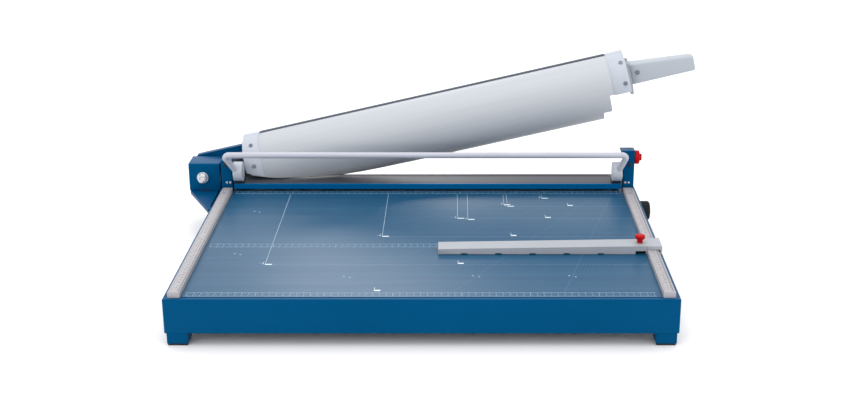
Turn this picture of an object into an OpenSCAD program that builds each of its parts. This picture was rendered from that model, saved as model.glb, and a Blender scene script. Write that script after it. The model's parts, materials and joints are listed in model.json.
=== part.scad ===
// Guillotine paper cutter: a folded steel table, a swinging knife arm with a turning guard,
// a lever-operated press bar, a sliding back stop and a rack-driven narrow-strip gauge.
// Frame: x to the right, y from the operator to the back, z up; the origin is on the floor
// at the centre of the four feet. The cutting line is the table's back edge.

/* [Table] */
// Cutting length between the two scale rails
cut_length = 700; // [500:10:1000]
// Depth of the table in front of the cutting line
table_depth = 553; // [480:1:700]
// Height of the table surface above the floor
table_height = 75; // [70:1:110]
// Height of the skirts below the table surface
skirt_h = 54; // [50:1:60]
// Thickness of the folded table sheet
sheet_t = 2; // [1.5:0.5:3]
// Thickness of the printed working surface
panel_t = 0.8; // [0.5:0.1:1.2]
// Width of each leg
leg_w = 31; // [24:1:45]
// Thickness of the rubber feet
foot_t = 3; // [2:0.5:6]
// Number of stiffening ribs below the table
rib_count = 3; // [2:1:4]

/* [Scale rails] */
// Width of each scale rail
rail_w = 20; // [16:1:25]
// Height of each scale rail above the table surface
rail_h = 8; // [6:0.5:9]
// Bare margin outside each rail
rail_margin = 5; // [3:0.5:8]

/* [Arm and knife] */
// Distance of the pivot outside the table's left edge
pivot_out = 31; // [28:1:45]
// Height of the pivot above the table surface
pivot_h = 20.5; // [18:0.5:24]
// Angle of the raised arm
open_angle = 13; // [10:0.5:14]
// Radius of the pivot bolt
pivot_r = 8; // [6:0.5:9]
// Thickness of the arm beam
beam_t = 12; // [8:1:13]
// Thickness of the knife
knife_t = 3.7; // [3:0.1:3.7]
// Depth of the knife's edge below the pivot
knife_drop = 33; // [30:1:36]
// Length of the handle grip
handle_len = 115; // [90:1:140]

/* [Guard] */
// Outer radius of the turning guard
guard_r = 56; // [55:0.5:57]
// Wall of the guard shell
guard_wall = 2.5; // [1.5:0.5:3]
// Angle that the guard turns while the arm comes down
guard_turn = 88; // [86:1:92]

/* [Press bar and clamp] */
// Paper gap under the raised press bar
paper_gap = 5; // [4.6:0.1:6]
// Depth of the press bar, front to back
bar_depth = 49; // [40:1:50]
// Thickness of the press bar
bar_t = 9.5; // [8:0.5:10]
// Radius of the cam discs
cam_r = 17.5; // [16:0.5:18]
// Offset of each cam disc from its axle
cam_throw = 7.5; // [6:0.5:8]
// Radius of the clamp tube
tube_r = 5; // [4:0.5:6]
// Height of the towers above the table surface
tower_h = 76; // [72:1:90]
left_tower_h = 58; // [56:1:70]

/* [Back stop and gauge] */
// Length of the back stop inside the right rail
stop_len = 328; // [200:1:340]
// Depth of the back stop, front to back
stop_depth = 32; // [26:1:36]
// Height of the back stop above the table
stop_h = 11; // [9.5:0.5:14]
// Pitch radius of the gauge pinions
pinion_r = 9; // [8:0.5:10]
// Teeth of each gauge pinion
pinion_teeth = 18; // [14:1:22]

/* [Hidden] */
$fn = 48;
gap = 0.3;
run_fit = 0.05;
eps = 0.01;

// Table places
blade_t = 6;
blade_h = 18;
beam_wall = 6;
inner_x = cut_length / 2;
half_w = inner_x + rail_w + rail_margin;
top_z = table_height;
deck_z = top_z - panel_t;
skirt_z = top_z - skirt_h;
leg_inset = 2.5;
leg_clear = 0.3;
// The feet lie evenly about the origin, so the cutting line and the front face follow from them
cut_y = (table_depth + blade_t + beam_wall + leg_clear - leg_inset) / 2;
front_y = cut_y - table_depth;
leg_x = half_w - leg_inset - leg_w / 2;
flange_x = leg_x - leg_w / 2 - 1;
leg_front_y = front_y + leg_inset + leg_w / 2;
leg_back_y = cut_y - blade_t - beam_wall - leg_clear - leg_w / 2;
leg_wall = 2;
stud_r = 3;
panel_margin = 8;
rib_t = 3;
rib_h = 14;

// A y value measured forward of the cutting line
function fwd(d) = cut_y - d;

// Rails
rail_front = table_depth - 6;
rail_back = 68;
rail_screw_r = 2;
rail_screw_d = [for (i = [0 : 2]) rail_back + 30 + i * (rail_front - rail_back - 60) / 2];

// Towers and clamp
tower_w = 19.5;
tower_d = 20;
tower_wall = 3;
tower_lip = 6;
tower_x = inner_x;
tower_front = 64;
axle_d = 54;
axle_h = paper_gap + bar_t + 12.9;
axle_r = 4;
cam_lean = 14;
cam_w = 16;
cam_x = tower_x - 2.5 - cam_w;
pad_t = axle_h + cam_throw * cos(cam_lean) - cam_r - paper_gap - bar_t - gap;
tube_left = -(inner_x + 11);
tube_right = inner_x + 3;
tube_d = 85;
tube_h = 73;
tube_root_d = 67;
tube_root_h = 38;
lock_h = 61;
lock_r = 4;

// Press bar
bar_front = 67;
bar_back = bar_front - bar_depth;
bar_half = inner_x - 3;
strip_back = 3;
strip_h = 3;
lip_h = 2.5;
bar_top = top_z + paper_gap + bar_t;
guide_x = inner_x - 11;
guide_inset = 10;
guide_d = bar_back + guide_inset;
guide_r = 3;
spring_r = 5;
spring_wire = 0.8;

// Arm, knife and pivot
pivot_x = -(half_w + pivot_out);
pivot_z = top_z + pivot_h;
shear_gap = 0.3;
knife_top = 19;
beam_top = 30;
beam_bottom = -14;
beam_y = shear_gap + knife_t;
bush_r = pivot_r + 3;
heel = 21;
// Distance along the arm of a place that meets x when the arm is down
function along(x) = x - pivot_x;
knife_end = along(inner_x - 11);
collar_u = along(half_w + 3.7);
collar_t = 6;
beam_end = collar_u + collar_t + 60;

// Guard axis in the arm's own frame: behind the cutting line and below the pivot
axis_y = 16;
axis_z = -15.5;
cap_left = along(-(inner_x - 21));
cap_w = 31;
cap_wall = 8;
cap_right = along(half_w + 3) - cap_w;
cap_foot = -4;
cap_heel = 182;
shell_foot = -74;
shell_head = 101;
notch_angle = -39;
notch_u = along(inner_x - 27);
shell_end = along(inner_x - 11.5);
belly = [[0, -60], [0, 1.9], [244, 1.9], [286, 6.6], [325, 13.2], [366, 21.5], [430, 21.5], [430, -60]];
carrier_r = 49;
groove_gap = 0.15;
cap_r = guard_r + 1.2;
hump_r = guard_r + 3.5;

// Housing
plate_t = 4;
housing_front = 48;
housing_left = pivot_x - 25;
housing_right = -half_w;
housing_top = pivot_z + 26;
housing_bottom = top_z - 4;
gusset_front = 150;
housing_bolt_d = [62, 122];
housing_bolt_z = top_z - 26;

// Back stop
stop_d = 360.5;
stop_left = inner_x - stop_len;
stop_lift = 0.4;
stop_block = 30;
stop_knob_x = inner_x - 10;
stop_guide_w = 16;

// Narrow-strip gauge
gauge_shaft_d = 55;
gauge_shaft_h = -40;
gauge_shaft_r = 4;
rack_x = inner_x - 110;
rack_w = 12;
rack_h = 10;
rack_len = 132;
gauge_travel = 35;
teeth_front = ceil(gauge_travel / (2 * PI * pinion_r / pinion_teeth)) + 4;
pitch = 2 * PI * pinion_r / pinion_teeth;
tooth_h = 2.2;
fence_back = 22;
fence_left = -(inner_x - 65);
fence_right = inner_x - 10;
knob_r = 17.5;

// Solids that repeat
module block(x0, x1, y0, y1, z0, z1) {
    translate([x0, y0, z0]) cube([x1 - x0, y1 - y0, z1 - z0]);
}
module rod_x(x0, x1, y, z, r) {
    translate([x0, y, z]) rotate([0, 90, 0]) cylinder(r = r, h = x1 - x0);
}
module rod_y(x, y0, y1, z, r) {
    translate([x, y0, z]) rotate([-90, 0, 0]) cylinder(r = r, h = y1 - y0);
}
module rod_z(x, y, z0, z1, r) {
    translate([x, y, z0]) cylinder(r = r, h = z1 - z0);
}
module between(a, b, r) {
    v = b - a;
    turn = atan2(v.y, v.x);
    lean = atan2(norm([v.x, v.y]), v.z);
    translate(a) rotate([0, lean, turn]) cylinder(r = r, h = norm(v));
}
// A profile drawn in y and z and drawn out along x
module along_x(x0, x1) {
    translate([x0, 0, 0]) rotate([90, 0, 90]) linear_extrude(x1 - x0) children();
}
// A profile drawn in x and z and drawn out along y
module along_y(y0, y1) {
    translate([0, y1, 0]) rotate([90, 0, 0]) linear_extrude(y1 - y0) children();
}
// A screw along +z: shank below, low head above with a hexagon socket
module screw(r, shank, head_r, head_h) {
    difference() {
        union() {
            translate([0, 0, -shank]) cylinder(r = r, h = shank + eps);
            cylinder(r = head_r, h = head_h);
        }
        translate([0, 0, head_h * 0.4]) cylinder(r = head_r * 0.5, h = head_h, $fn = 6);
    }
}
module mirror_copy() {
    children();
    mirror([1, 0, 0]) children();
}

// Table
module deck_plate() {
    color([0.02, 0.33, 0.53]) difference() {
        block(-half_w, half_w, front_y, fwd(blade_t + beam_wall), deck_z - sheet_t, deck_z);
        for (side = [-1, 1]) {
            for (d = rail_screw_d) {
                rod_z(side * (inner_x + rail_w / 2), fwd(d), deck_z - 5, deck_z + 1, rail_screw_r + gap / 3);
            }
            rod_z(side * guide_x, fwd(guide_d), deck_z - 5, deck_z + 1, guide_r + gap / 3);
        }
    }
}
module front_skirt() {
    color([0.02, 0.33, 0.53]) union() {
        block(-half_w, half_w, front_y, front_y + sheet_t, skirt_z, deck_z - sheet_t);
        block(-flange_x, flange_x, front_y + sheet_t - eps, front_y + 14, skirt_z, skirt_z + sheet_t);
    }
}
module side_skirt() {
    difference() {
        block(half_w - sheet_t, half_w, front_y + sheet_t, fwd(blade_t + beam_wall), skirt_z, deck_z - sheet_t);
        children();
    }
}
module left_skirt() {
    color([0.02, 0.33, 0.53]) mirror([1, 0, 0]) side_skirt() {
        for (d = housing_bolt_d) {
            rod_x(half_w - 10, half_w + 10, fwd(d), housing_bolt_z, stud_r + gap / 3);
        }
    }
}
module right_skirt() {
    color([0.02, 0.33, 0.53]) side_skirt() {
        rod_x(half_w - 10, half_w + 10, fwd(gauge_shaft_d), top_z + gauge_shaft_h, gauge_shaft_r + 1.5);
    }
}
module rear_beam() {
    color([0.03, 0.29, 0.46]) difference() {
        block(-half_w, half_w, fwd(blade_t + beam_wall), fwd(blade_t), skirt_z, top_z - gap);
        for (side = [-1, 1]) {
            block(side * rack_x - rack_w / 2 - 1, side * rack_x + rack_w / 2 + 1, cut_y - 20, cut_y + 5,
                rack_z() - 4, rack_z() + rack_h + 1);
        }
        blade_holes(stud_r + gap / 3);
    }
}
module cross_ribs() {
    span = table_depth - 14 - blade_t - beam_wall;
    color([0.03, 0.29, 0.46]) for (i = [1 : rib_count]) {
        y = front_y + 14 + span * i / (rib_count + 1) - 40;
        block(-half_w + sheet_t + 1, half_w - sheet_t - 1, y, y + rib_t, deck_z - sheet_t - rib_h,
            deck_z - sheet_t);
    }
}
module at_legs() {
    for (side = [-1, 1], y = [leg_front_y, leg_back_y]) {
        translate([side * leg_x, y, 0]) children();
    }
}
module legs() {
    color([0.02, 0.30, 0.48]) difference() {
        at_legs() block(-leg_w / 2, leg_w / 2, -leg_w / 2, leg_w / 2, foot_t, deck_z - sheet_t);
        at_legs() block(-leg_w / 2 + leg_wall, leg_w / 2 - leg_wall, -leg_w / 2 + leg_wall,
            leg_w / 2 - leg_wall, foot_t + 2 * leg_wall, deck_z);
        at_legs() rod_z(0, 0, -1, skirt_z, stud_r);
    }
}
module rubber_feet() {
    color([0.05, 0.05, 0.05]) difference() {
        at_legs() block(-leg_w / 2 + 1, leg_w / 2 - 1, -leg_w / 2 + 1, leg_w / 2 - 1, 0, foot_t);
        at_legs() rod_z(0, 0, -1, foot_t + 1, stud_r);
    }
}
module table_panel() {
    color([0.27, 0.47, 0.62]) difference() {
        block(-inner_x + gap, inner_x - gap, front_y + panel_margin, fwd(blade_t + beam_wall), deck_z, top_z);
        for (side = [-1, 1]) {
            rod_z(side * guide_x, fwd(guide_d), deck_z - 1, top_z + 1, guide_r + gap / 3);
        }
    }
}

// Scale rails
module scale_rail() {
    difference() {
        union() {
            block(inner_x, inner_x + rail_w, fwd(rail_front), fwd(rail_back), deck_z, top_z + rail_h - 1);
            block(inner_x, inner_x + rail_w - 2, fwd(rail_front), fwd(rail_back), top_z + rail_h - 1 - eps,
                top_z + rail_h);
        }
        for (d = rail_screw_d) {
            rod_z(inner_x + rail_w / 2, fwd(d), deck_z - 1, top_z + 20, rail_screw_r + gap / 3);
            rod_z(inner_x + rail_w / 2, fwd(d), top_z + rail_h - 2.2, top_z + 20, 2 * rail_screw_r + gap / 3);
        }
    }
}
module left_scale_rail() {
    color([0.80, 0.81, 0.83]) mirror([1, 0, 0]) scale_rail();
}
module right_scale_rail() {
    color([0.80, 0.81, 0.83]) scale_rail();
}
module rail_screws() {
    color([0.55, 0.56, 0.58]) for (side = [-1, 1], d = rail_screw_d) {
        translate([side * (inner_x + rail_w / 2), fwd(d), top_z + rail_h - 2.2 + eps]) {
            screw(rail_screw_r, rail_h + sheet_t, 2 * rail_screw_r, 2);
        }
    }
}

// Towers that carry the clamp; the left one stays low, under the arm
module tower(h, lip) {
    y0 = fwd(tower_front);
    difference() {
        union() {
            block(tower_x, tower_x + tower_w, y0, y0 + tower_d, deck_z, top_z + h - tower_wall);
            block(tower_x - lip, tower_x + tower_w, y0 - 1, y0 + tower_d + 1, top_z + h - tower_wall - eps,
                top_z + h);
        }
        block(tower_x + tower_wall, tower_x + tower_w - tower_wall, y0 + tower_wall, y0 + tower_d + 1,
            deck_z + tower_wall, top_z + h - tower_wall - eps);
        rod_x(tower_x - 5, tower_x + tower_w + 5, fwd(axle_d), top_z + axle_h, axle_r + run_fit);
        rod_y(tower_x + 11, y0 - 5, y0 + 10, top_z + 50, 2 + gap / 3);
    }
}
module left_tower() {
    color([0.02, 0.33, 0.53]) mirror([1, 0, 0]) tower(left_tower_h, 0);
}
module right_tower() {
    color([0.02, 0.33, 0.53]) difference() {
        tower(tower_h, tower_lip);
        rod_x(tower_x - 5, tower_x + tower_w + 5, fwd(axle_d), top_z + lock_h, lock_r + run_fit);
        rod_x(tower_x + tower_w - 10, tower_x + tower_w + 5, fwd(47), top_z + 35, 2 + gap / 3);
    }
}
module tower_screws() {
    color([0.15, 0.15, 0.16]) {
        mirror_copy() translate([tower_x + 11, fwd(tower_front), top_z + 50]) rotate([90, 0, 0]) {
            screw(2, 6, 3.4, 1.2);
        }
        translate([tower_x + tower_w, fwd(47), top_z + 35]) rotate([0, 90, 0]) screw(2, 8, 4, 2);
    }
}

// Lower blade
module at_blade_screws() {
    for (i = [0 : 6]) {
        translate([-inner_x + 25 + i * (2 * inner_x - 50) / 6, fwd(0), top_z - blade_h / 2]) children();
    }
}
module blade_holes(r) {
    at_blade_screws() rod_y(0, -30, 10, 0, r);
}
module lower_blade() {
    color([0.70, 0.72, 0.74]) difference() {
        block(-half_w + 10, half_w - 10, fwd(blade_t), fwd(0), top_z - blade_h, top_z);
        blade_holes(stud_r + gap / 3);
        at_blade_screws() rod_y(0, -3, 10, 0, 5.2);
    }
}
module lower_blade_screws() {
    color([0.2, 0.2, 0.21]) at_blade_screws() {
        translate([0, -3, 0]) rotate([-90, 0, 0]) screw(stud_r, 8, 5, 2.8);
    }
}

// Pivot housing
module pivot_housing() {
    z0 = housing_bottom;
    z1 = housing_top;
    bevel = 14;
    color([0.02, 0.34, 0.55]) difference() {
        union() {
            // front plate, roof and rear plate
            along_y(fwd(housing_front), fwd(housing_front - plate_t)) {
                polygon([[housing_left, z0], [housing_right, z0], [housing_right, z1], [housing_left, z1]]);
            }
            along_y(fwd(housing_front - plate_t) - eps, fwd(0.5)) {
                polygon([
                    [housing_left, z1 - plate_t], [housing_right, z1 - plate_t], [housing_right, z1],
                    [housing_left, z1]
                ]);
            }
            block(housing_left, housing_right, fwd(5), fwd(0.5), z0, z1 - plate_t + eps);
            // gusset plate that runs along the table's side
            translate([0, 0, z0 - plate_t]) linear_extrude(plate_t + eps) {
                polygon([
                    [housing_left, fwd(0.5)], [-half_w, fwd(0.5)], [-half_w, fwd(gusset_front)],
                    [-half_w - 6, fwd(gusset_front)], [housing_left, fwd(housing_front)]
                ]);
            }
            // bolting flange against the side skirt
            block(-half_w - plate_t, -half_w, fwd(gusset_front - 10), fwd(0.5), skirt_z + 4, z0);
        }
        rod_y(pivot_x, fwd(80), fwd(-10), pivot_z, pivot_r + gap / 3);
        for (d = housing_bolt_d) {
            rod_x(-half_w - 20, -half_w + 10, fwd(d), housing_bolt_z, stud_r + gap / 3);
        }
    }
}
module housing_bolts() {
    color([0.3, 0.3, 0.32]) for (d = housing_bolt_d) {
        translate([-half_w - plate_t, fwd(d), housing_bolt_z]) rotate([0, -90, 0]) screw(stud_r, 12, 5.5, 3.5);
    }
}
module pivot_bolt() {
    color([0.78, 0.79, 0.81]) union() {
        rod_y(pivot_x, fwd(housing_front), fwd(-beam_y - beam_t - 19), pivot_z, pivot_r);
        rod_y(pivot_x, fwd(housing_front + 2), fwd(housing_front), pivot_z, pivot_r + 6);
        translate([pivot_x, fwd(housing_front + 2) + eps, pivot_z]) rotate([90, 0, 0]) {
            cylinder(r = pivot_r + 3, h = 8, $fn = 6);
        }
    }
}
module pivot_spacer() {
    color([0.6, 0.61, 0.63]) difference() {
        rod_y(pivot_x, fwd(housing_front - plate_t), fwd(5), pivot_z, pivot_r + 4);
        rod_y(pivot_x, fwd(housing_front), fwd(0), pivot_z, pivot_r + gap / 3);
    }
}
module washer_y(y, t, r) {
    difference() {
        rod_y(pivot_x, y, y + t, pivot_z, r);
        rod_y(pivot_x, y - 1, y + t + 1, pivot_z, pivot_r + gap / 3);
    }
}
module spring_washers() {
    color([0.35, 0.36, 0.38]) union() {
        washer_y(fwd(0.5), 0.5 + beam_y - gap / 2, bush_r + 3);
        washer_y(fwd(-beam_y - beam_t) + gap / 2, 2, bush_r + 3);
        washer_y(fwd(-beam_y - beam_t) + gap / 2 + 2.1, 2, bush_r + 1);
    }
}
module pivot_nut() {
    color([0.6, 0.61, 0.63]) difference() {
        translate([pivot_x, fwd(-beam_y - beam_t) + gap / 2 + 4.2, pivot_z]) rotate([-90, 0, 0]) {
            cylinder(r = pivot_r + 5.5, h = 12, $fn = 6);
        }
        rod_y(pivot_x, cut_y, fwd(-80), pivot_z, pivot_r + gap / 3);
    }
}

// Arm: everything below is drawn level, then raised about the pivot
module raised() {
    translate([pivot_x, cut_y, pivot_z]) rotate([0, -open_angle, 0]) children();
}
module on_guard_axis() {
    raised() translate([0, axis_y, axis_z]) children();
}
knife_screw_u = [for (i = [0 : 7]) 60 + i * (knife_end - 100) / 7];
module arm_beam() {
    color([0.03, 0.30, 0.47]) raised() difference() {
        along_y(beam_y, beam_y + beam_t) {
            polygon([
                [-heel, beam_top - 12], [-heel + 10, beam_top], [collar_u - 16, beam_top],
                [collar_u - 6, 22], [beam_end - 60, 22], [beam_end - 60, 16], [beam_end, 14], [beam_end, -8],
                [beam_end - 60, -10],
                [collar_u - 40, beam_bottom], [14, beam_bottom - 2], [-12, beam_bottom], [-heel, -6]
            ]);
        }
        rod_y(0, -5, 60, 0, bush_r);
        for (u = knife_screw_u) {
            rod_y(u, 0, 60, 3, stud_r + gap / 3);
        }
    }
}
module pivot_bush() {
    color([0.72, 0.58, 0.30]) raised() difference() {
        rod_y(0, beam_y, beam_y + beam_t, 0, bush_r);
        rod_y(0, beam_y - 1, beam_y + beam_t + 1, 0, pivot_r + run_fit);
    }
}
module knife() {
    color([0.74, 0.76, 0.78]) raised() difference() {
        along_y(shear_gap, beam_y) {
            polygon([
                [30, knife_top], [knife_end, knife_top], [knife_end, -knife_drop + 8],
                [knife_end - 6, -knife_drop], [48, -knife_drop], [30, -knife_drop + 22]
            ]);
        }
        for (u = knife_screw_u) {
            rod_y(u, -5, 60, 3, stud_r + gap / 3);
        }
    }
}
module knife_screws() {
    color([0.25, 0.25, 0.27]) raised() for (u = knife_screw_u) {
        translate([u, beam_y + beam_t, 3]) rotate([-90, 0, 0]) screw(stud_r, beam_t + knife_t - 0.2, 5, 3);
    }
}
// Three-quarter disc that the guard turns on, saddled over the beam
module guard_carrier(u0, u1) {
    raised() difference() {
        rod_x(u0, u1, axis_y, axis_z, carrier_r - run_fit);
        block(u0 - 1, u1 + 1, shear_gap - 0.2, beam_y + beam_t + 0.1, -2 * guard_r, beam_top + 0.1);
        block(u0 - 1, u1 + 1, -2 * guard_r, shear_gap, -2 * guard_r, -3);
        block(u0 - 1, u1 + 1, 0, axis_y + 12, -2 * guard_r, -knife_drop - 3);
    }
}
module left_guard_carrier() {
    color([0.25, 0.27, 0.30]) guard_carrier(cap_left - 0.5, cap_left + cap_wall + 0.5);
}
module right_guard_carrier() {
    color([0.25, 0.27, 0.30]) guard_carrier(cap_right + cap_w - cap_wall - 0.5, cap_right + cap_w + 0.4);
}
module handle_collar() {
    color([0.66, 0.70, 0.75]) raised() difference() {
        along_x(collar_u, collar_u + collar_t) {
            polygon([
                [-4, -20], [-4, 22], [2, 27], [beam_y + beam_t + 10, 27], [beam_y + beam_t + 14, 20],
                [beam_y + beam_t + 14, -32], [beam_y + beam_t + 6, -37], [4, -37]
            ]);
        }
        block(collar_u - 1, collar_u + collar_t + 1, beam_y - 0.1, beam_y + beam_t + 0.1, beam_bottom - 4,
            beam_top + 0.1);
    }
}
module handle() {
    u0 = collar_u + collar_t + 0.1;
    u1 = u0 + handle_len;
    mid = beam_y + beam_t / 2;
    color([0.74, 0.78, 0.83]) raised() difference() {
        hull() {
            for (y = [-9, 9], z = [-13, 16]) {
                translate([u0, mid + y, z]) rotate([0, 90, 0]) cylinder(r = 5, h = 1, $fn = 24);
            }
            for (y = [-8, 8], z = [-12, 5]) {
                translate([u1 - 5, mid + y, z]) sphere(r = 5, $fn = 24);
            }
        }
        block(u0 - 1, beam_end + 0.2, beam_y - 0.1, beam_y + beam_t + 0.1, -10.4, 16.2);
    }
}
module handle_screw() {
    color([0.5, 0.51, 0.53]) raised() translate([collar_u + 18, beam_y + beam_t / 2 - 14, 3]) {
        rotate([90, 0, 0]) cylinder(r = 4.5, h = 1.2);
    }
}

// Guard, in polar places about its own axis: 0 degrees faces the operator, 90 is up
function polar(r, a) = [-r * cos(a), r * sin(a)];
module sector(r, a0, a1) {
    steps = ceil((a1 - a0) / 30);
    polygon(concat([[0, 0]], [for (i = [0 : steps]) polar(r, a0 + (a1 - a0) * i / steps)]));
}
// A section drawn as [radius, along the axis] and turned between two angles
module turned(a0, a1) {
    rotate([0, 90, 0]) rotate([0, 0, -90 - a1]) rotate_extrude(angle = a1 - a0) children();
}
// Part of a tube between two angles
module tube_part(u0, u1, r0, r1, a0, a1) {
    intersection() {
        difference() {
            rod_x(u0, u1, 0, 0, r1);
            rod_x(u0 - 1, u1 + 1, 0, 0, r0);
        }
        along_x(u0 - 1, u1 + 1) sector(1.3 * r1, a0, a1);
    }
}
module guard_shell() {
    color([0.80, 0.82, 0.85]) difference() {
        on_guard_axis() union() {
            tube_part(cap_left + cap_wall + 0.2, notch_u, guard_r - guard_wall, guard_r, shell_foot, shell_head);
            tube_part(notch_u - eps, shell_end, guard_r - guard_wall, guard_r, notch_angle, shell_head);
            tube_part(shell_end - eps, cap_right + cap_w - cap_wall - 0.2, guard_r - guard_wall, guard_r, cap_foot + 1,
                shell_head);
        }
        // the belly is cut so that its lip passes over the press bar as the arm comes down
        along_y(fwd(80), fwd(-4)) polygon([for (p = belly) [pivot_x + p.x, bar_top + p.y]]);
    }
}
module guard_edge_rail() {
    color([0.62, 0.64, 0.67]) on_guard_axis() {
        tube_part(cap_left + cap_w + 1, cap_right - 1, guard_r + 0.1, hump_r, shell_head - 7, shell_head);
    }
}
// An L-shaped section turned about the guard's axis: an end wall on the carrier and a skirt over the shell
module end_cap(u0, open_right) {
    wall = open_right ? u0 : u0 + cap_w;
    tip = open_right ? u0 + cap_w : u0;
    step = open_right ? cap_wall : -cap_wall;
    skirt_r = guard_r + groove_gap;
    on_guard_axis() difference() {
        union() {
            turned(cap_foot, cap_heel) polygon([
                [carrier_r, wall], [cap_r, wall], [cap_r, tip], [skirt_r, tip], [skirt_r, wall + step],
                [carrier_r, wall + step]
            ]);
            turned(shell_head - 16, cap_heel - 1) polygon([
                [cap_r - 0.5, u0 + 1], [hump_r, u0 + 1], [hump_r, u0 + cap_w - 1], [cap_r - 0.5, u0 + cap_w - 1]
            ]);
        }
        at_cap_screws(u0, open_right) cylinder(r = 2 + gap / 3, h = 60);
    }
}
module at_cap_screws(u0, open_right) {
    u = open_right ? u0 + cap_w / 2 + 1 : u0 + cap_w / 2 + 6;
    for (a = [13, 54]) {
        translate([u, 0, 0]) rotate([90 - a, 0, 0]) children();
    }
}
module left_end_cap() {
    color([0.80, 0.81, 0.83]) end_cap(cap_left, true);
}
module right_end_cap() {
    color([0.80, 0.81, 0.83]) end_cap(cap_right, false);
}
module cap_screws() {
    color([0.5, 0.51, 0.53]) on_guard_axis() {
        at_cap_screws(cap_left, true) translate([0, 0, cap_r]) screw(2, 1, 3.8, 1.2);
        at_cap_screws(cap_right, false) translate([0, 0, cap_r]) screw(2, 1, 3.8, 1.2);
    }
}

// Press bar
module press_bar() {
    z0 = top_z + paper_gap;
    color([0.50, 0.51, 0.55]) difference() {
        block(-bar_half, bar_half, fwd(bar_front), fwd(bar_back), z0, z0 + bar_t);
        for (side = [-1, 1]) {
            rod_z(side * guide_x, fwd(guide_d), z0 - 1, z0 + 30, guide_r + run_fit);
            rod_z(side * guide_x, fwd(guide_d), z0 - 1, z0 + 4, spring_r + spring_wire);
        }
    }
}
module bar_edge_strip() {
    z0 = top_z + paper_gap;
    color([0.12, 0.14, 0.18]) union() {
        block(-bar_half, bar_half - 16, fwd(bar_back), fwd(strip_back), z0, z0 + strip_h);
        block(-bar_half, bar_half - 16, fwd(strip_back + 1.5), fwd(strip_back), z0, z0 + strip_h + lip_h);
    }
}
module wear_pads() {
    z0 = top_z + paper_gap + bar_t;
    color([0.08, 0.08, 0.08]) mirror_copy() {
        block(cam_x - 2, bar_half - 0.5, fwd(64), fwd(44), z0, z0 + pad_t);
    }
}
module bar_guide_pins() {
    z1 = top_z + paper_gap + bar_t + 1;
    color([0.7, 0.71, 0.73]) for (side = [-1, 1]) {
        rod_z(side * guide_x, fwd(guide_d), deck_z - sheet_t, z1, guide_r);
        rod_z(side * guide_x, fwd(guide_d), z1, z1 + 2, guide_r + 3);
    }
}
module lift_springs() {
    coils = 3;
    z0 = top_z;
    span = paper_gap + 4 - 2 * spring_wire;
    color([0.6, 0.61, 0.63]) for (side = [-1, 1], i = [0 : coils]) {
        translate([side * guide_x, fwd(guide_d), z0 + spring_wire + span * i / coils]) {
            rotate_extrude() translate([spring_r - spring_wire, 0]) circle(r = spring_wire, $fn = 16);
        }
    }
}

// Clamp lever: cam discs, axles and bent tube
cam_y = fwd(axle_d + cam_throw * sin(cam_lean));
cam_z = top_z + axle_h + cam_throw * cos(cam_lean);
module cam_disc() {
    color([0.72, 0.73, 0.76]) difference() {
        union() {
            rod_x(cam_x, cam_x + cam_w, cam_y, cam_z, cam_r);
            rod_x(cam_x + cam_w - eps, cam_x + cam_w + 2, fwd(axle_d), top_z + axle_h, axle_r + 4);
        }
        rod_x(cam_x + 4, cam_x + cam_w + 5, fwd(axle_d), top_z + axle_h, axle_r + gap / 3);
    }
}
module left_cam_disc() {
    difference() {
        mirror([1, 0, 0]) cam_disc();
        clamp_arms(tube_r + gap / 3);
    }
}
module right_cam_disc() {
    difference() {
        cam_disc();
        clamp_arms(tube_r + gap / 3);
    }
}
module cam_axles() {
    color([0.55, 0.56, 0.58]) mirror_copy() {
        rod_x(cam_x + 4.1, tower_x + tower_w + 0.5, fwd(axle_d), top_z + axle_h, axle_r);
    }
}
tube_z = top_z + tube_h;
root_z = top_z + tube_root_h;
root_x = cam_x + cam_w / 2;
left_corner = [tube_left, fwd(tube_d), tube_z];
right_corner = [tube_right, fwd(tube_d), tube_z];
module clamp_arms(r) {
    between(left_corner, [-root_x, fwd(tube_root_d - 3), root_z - 4], r);
    between(right_corner, [root_x, fwd(tube_root_d - 3), root_z - 4], r);
}
module clamp_tube() {
    color([0.82, 0.84, 0.87]) union() {
        rod_x(tube_left, tube_right, fwd(tube_d), tube_z, tube_r);
        translate(left_corner) sphere(r = tube_r + 0.2);
        translate(right_corner) sphere(r = tube_r + 0.2);
        clamp_arms(tube_r);
    }
}

// Back stop that slides along the right rail
module back_stop() {
    y0 = fwd(stop_d) - stop_depth / 2;
    y1 = y0 + stop_depth;
    z0 = top_z + stop_lift;
    x1 = inner_x + rail_w + 3;
    color([0.72, 0.73, 0.75]) difference() {
        union() {
            along_y(y0, y1) {
                polygon([
                    [stop_left, z0], [inner_x, z0], [inner_x, top_z + 14], [stop_left, z0 + stop_h - 2.4]
                ]);
            }
            block(inner_x - eps, x1, y0 - 1, y1 + 4, z0, top_z + 14);
        }
        block(inner_x - gap, inner_x + rail_w + gap, y0 - 5, y1 + 8, 0, top_z + rail_h + gap);
        for (i = [0 : 4]) {
            x = stop_left + 36 + i * (stop_len - 60) / 5;
            block(x, x + 10, y0 - 5, y0 + 6, 0, z0 + 1.6);
        }
        rod_z(stop_knob_x, fwd(stop_d), 0, top_z + 30, 2.5 + run_fit);
        block(stop_knob_x - stop_guide_w / 2 - gap, stop_knob_x + stop_guide_w / 2 + gap, y0 - 5, y1 + 8, 0,
            top_z + 5.5);
    }
}
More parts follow.
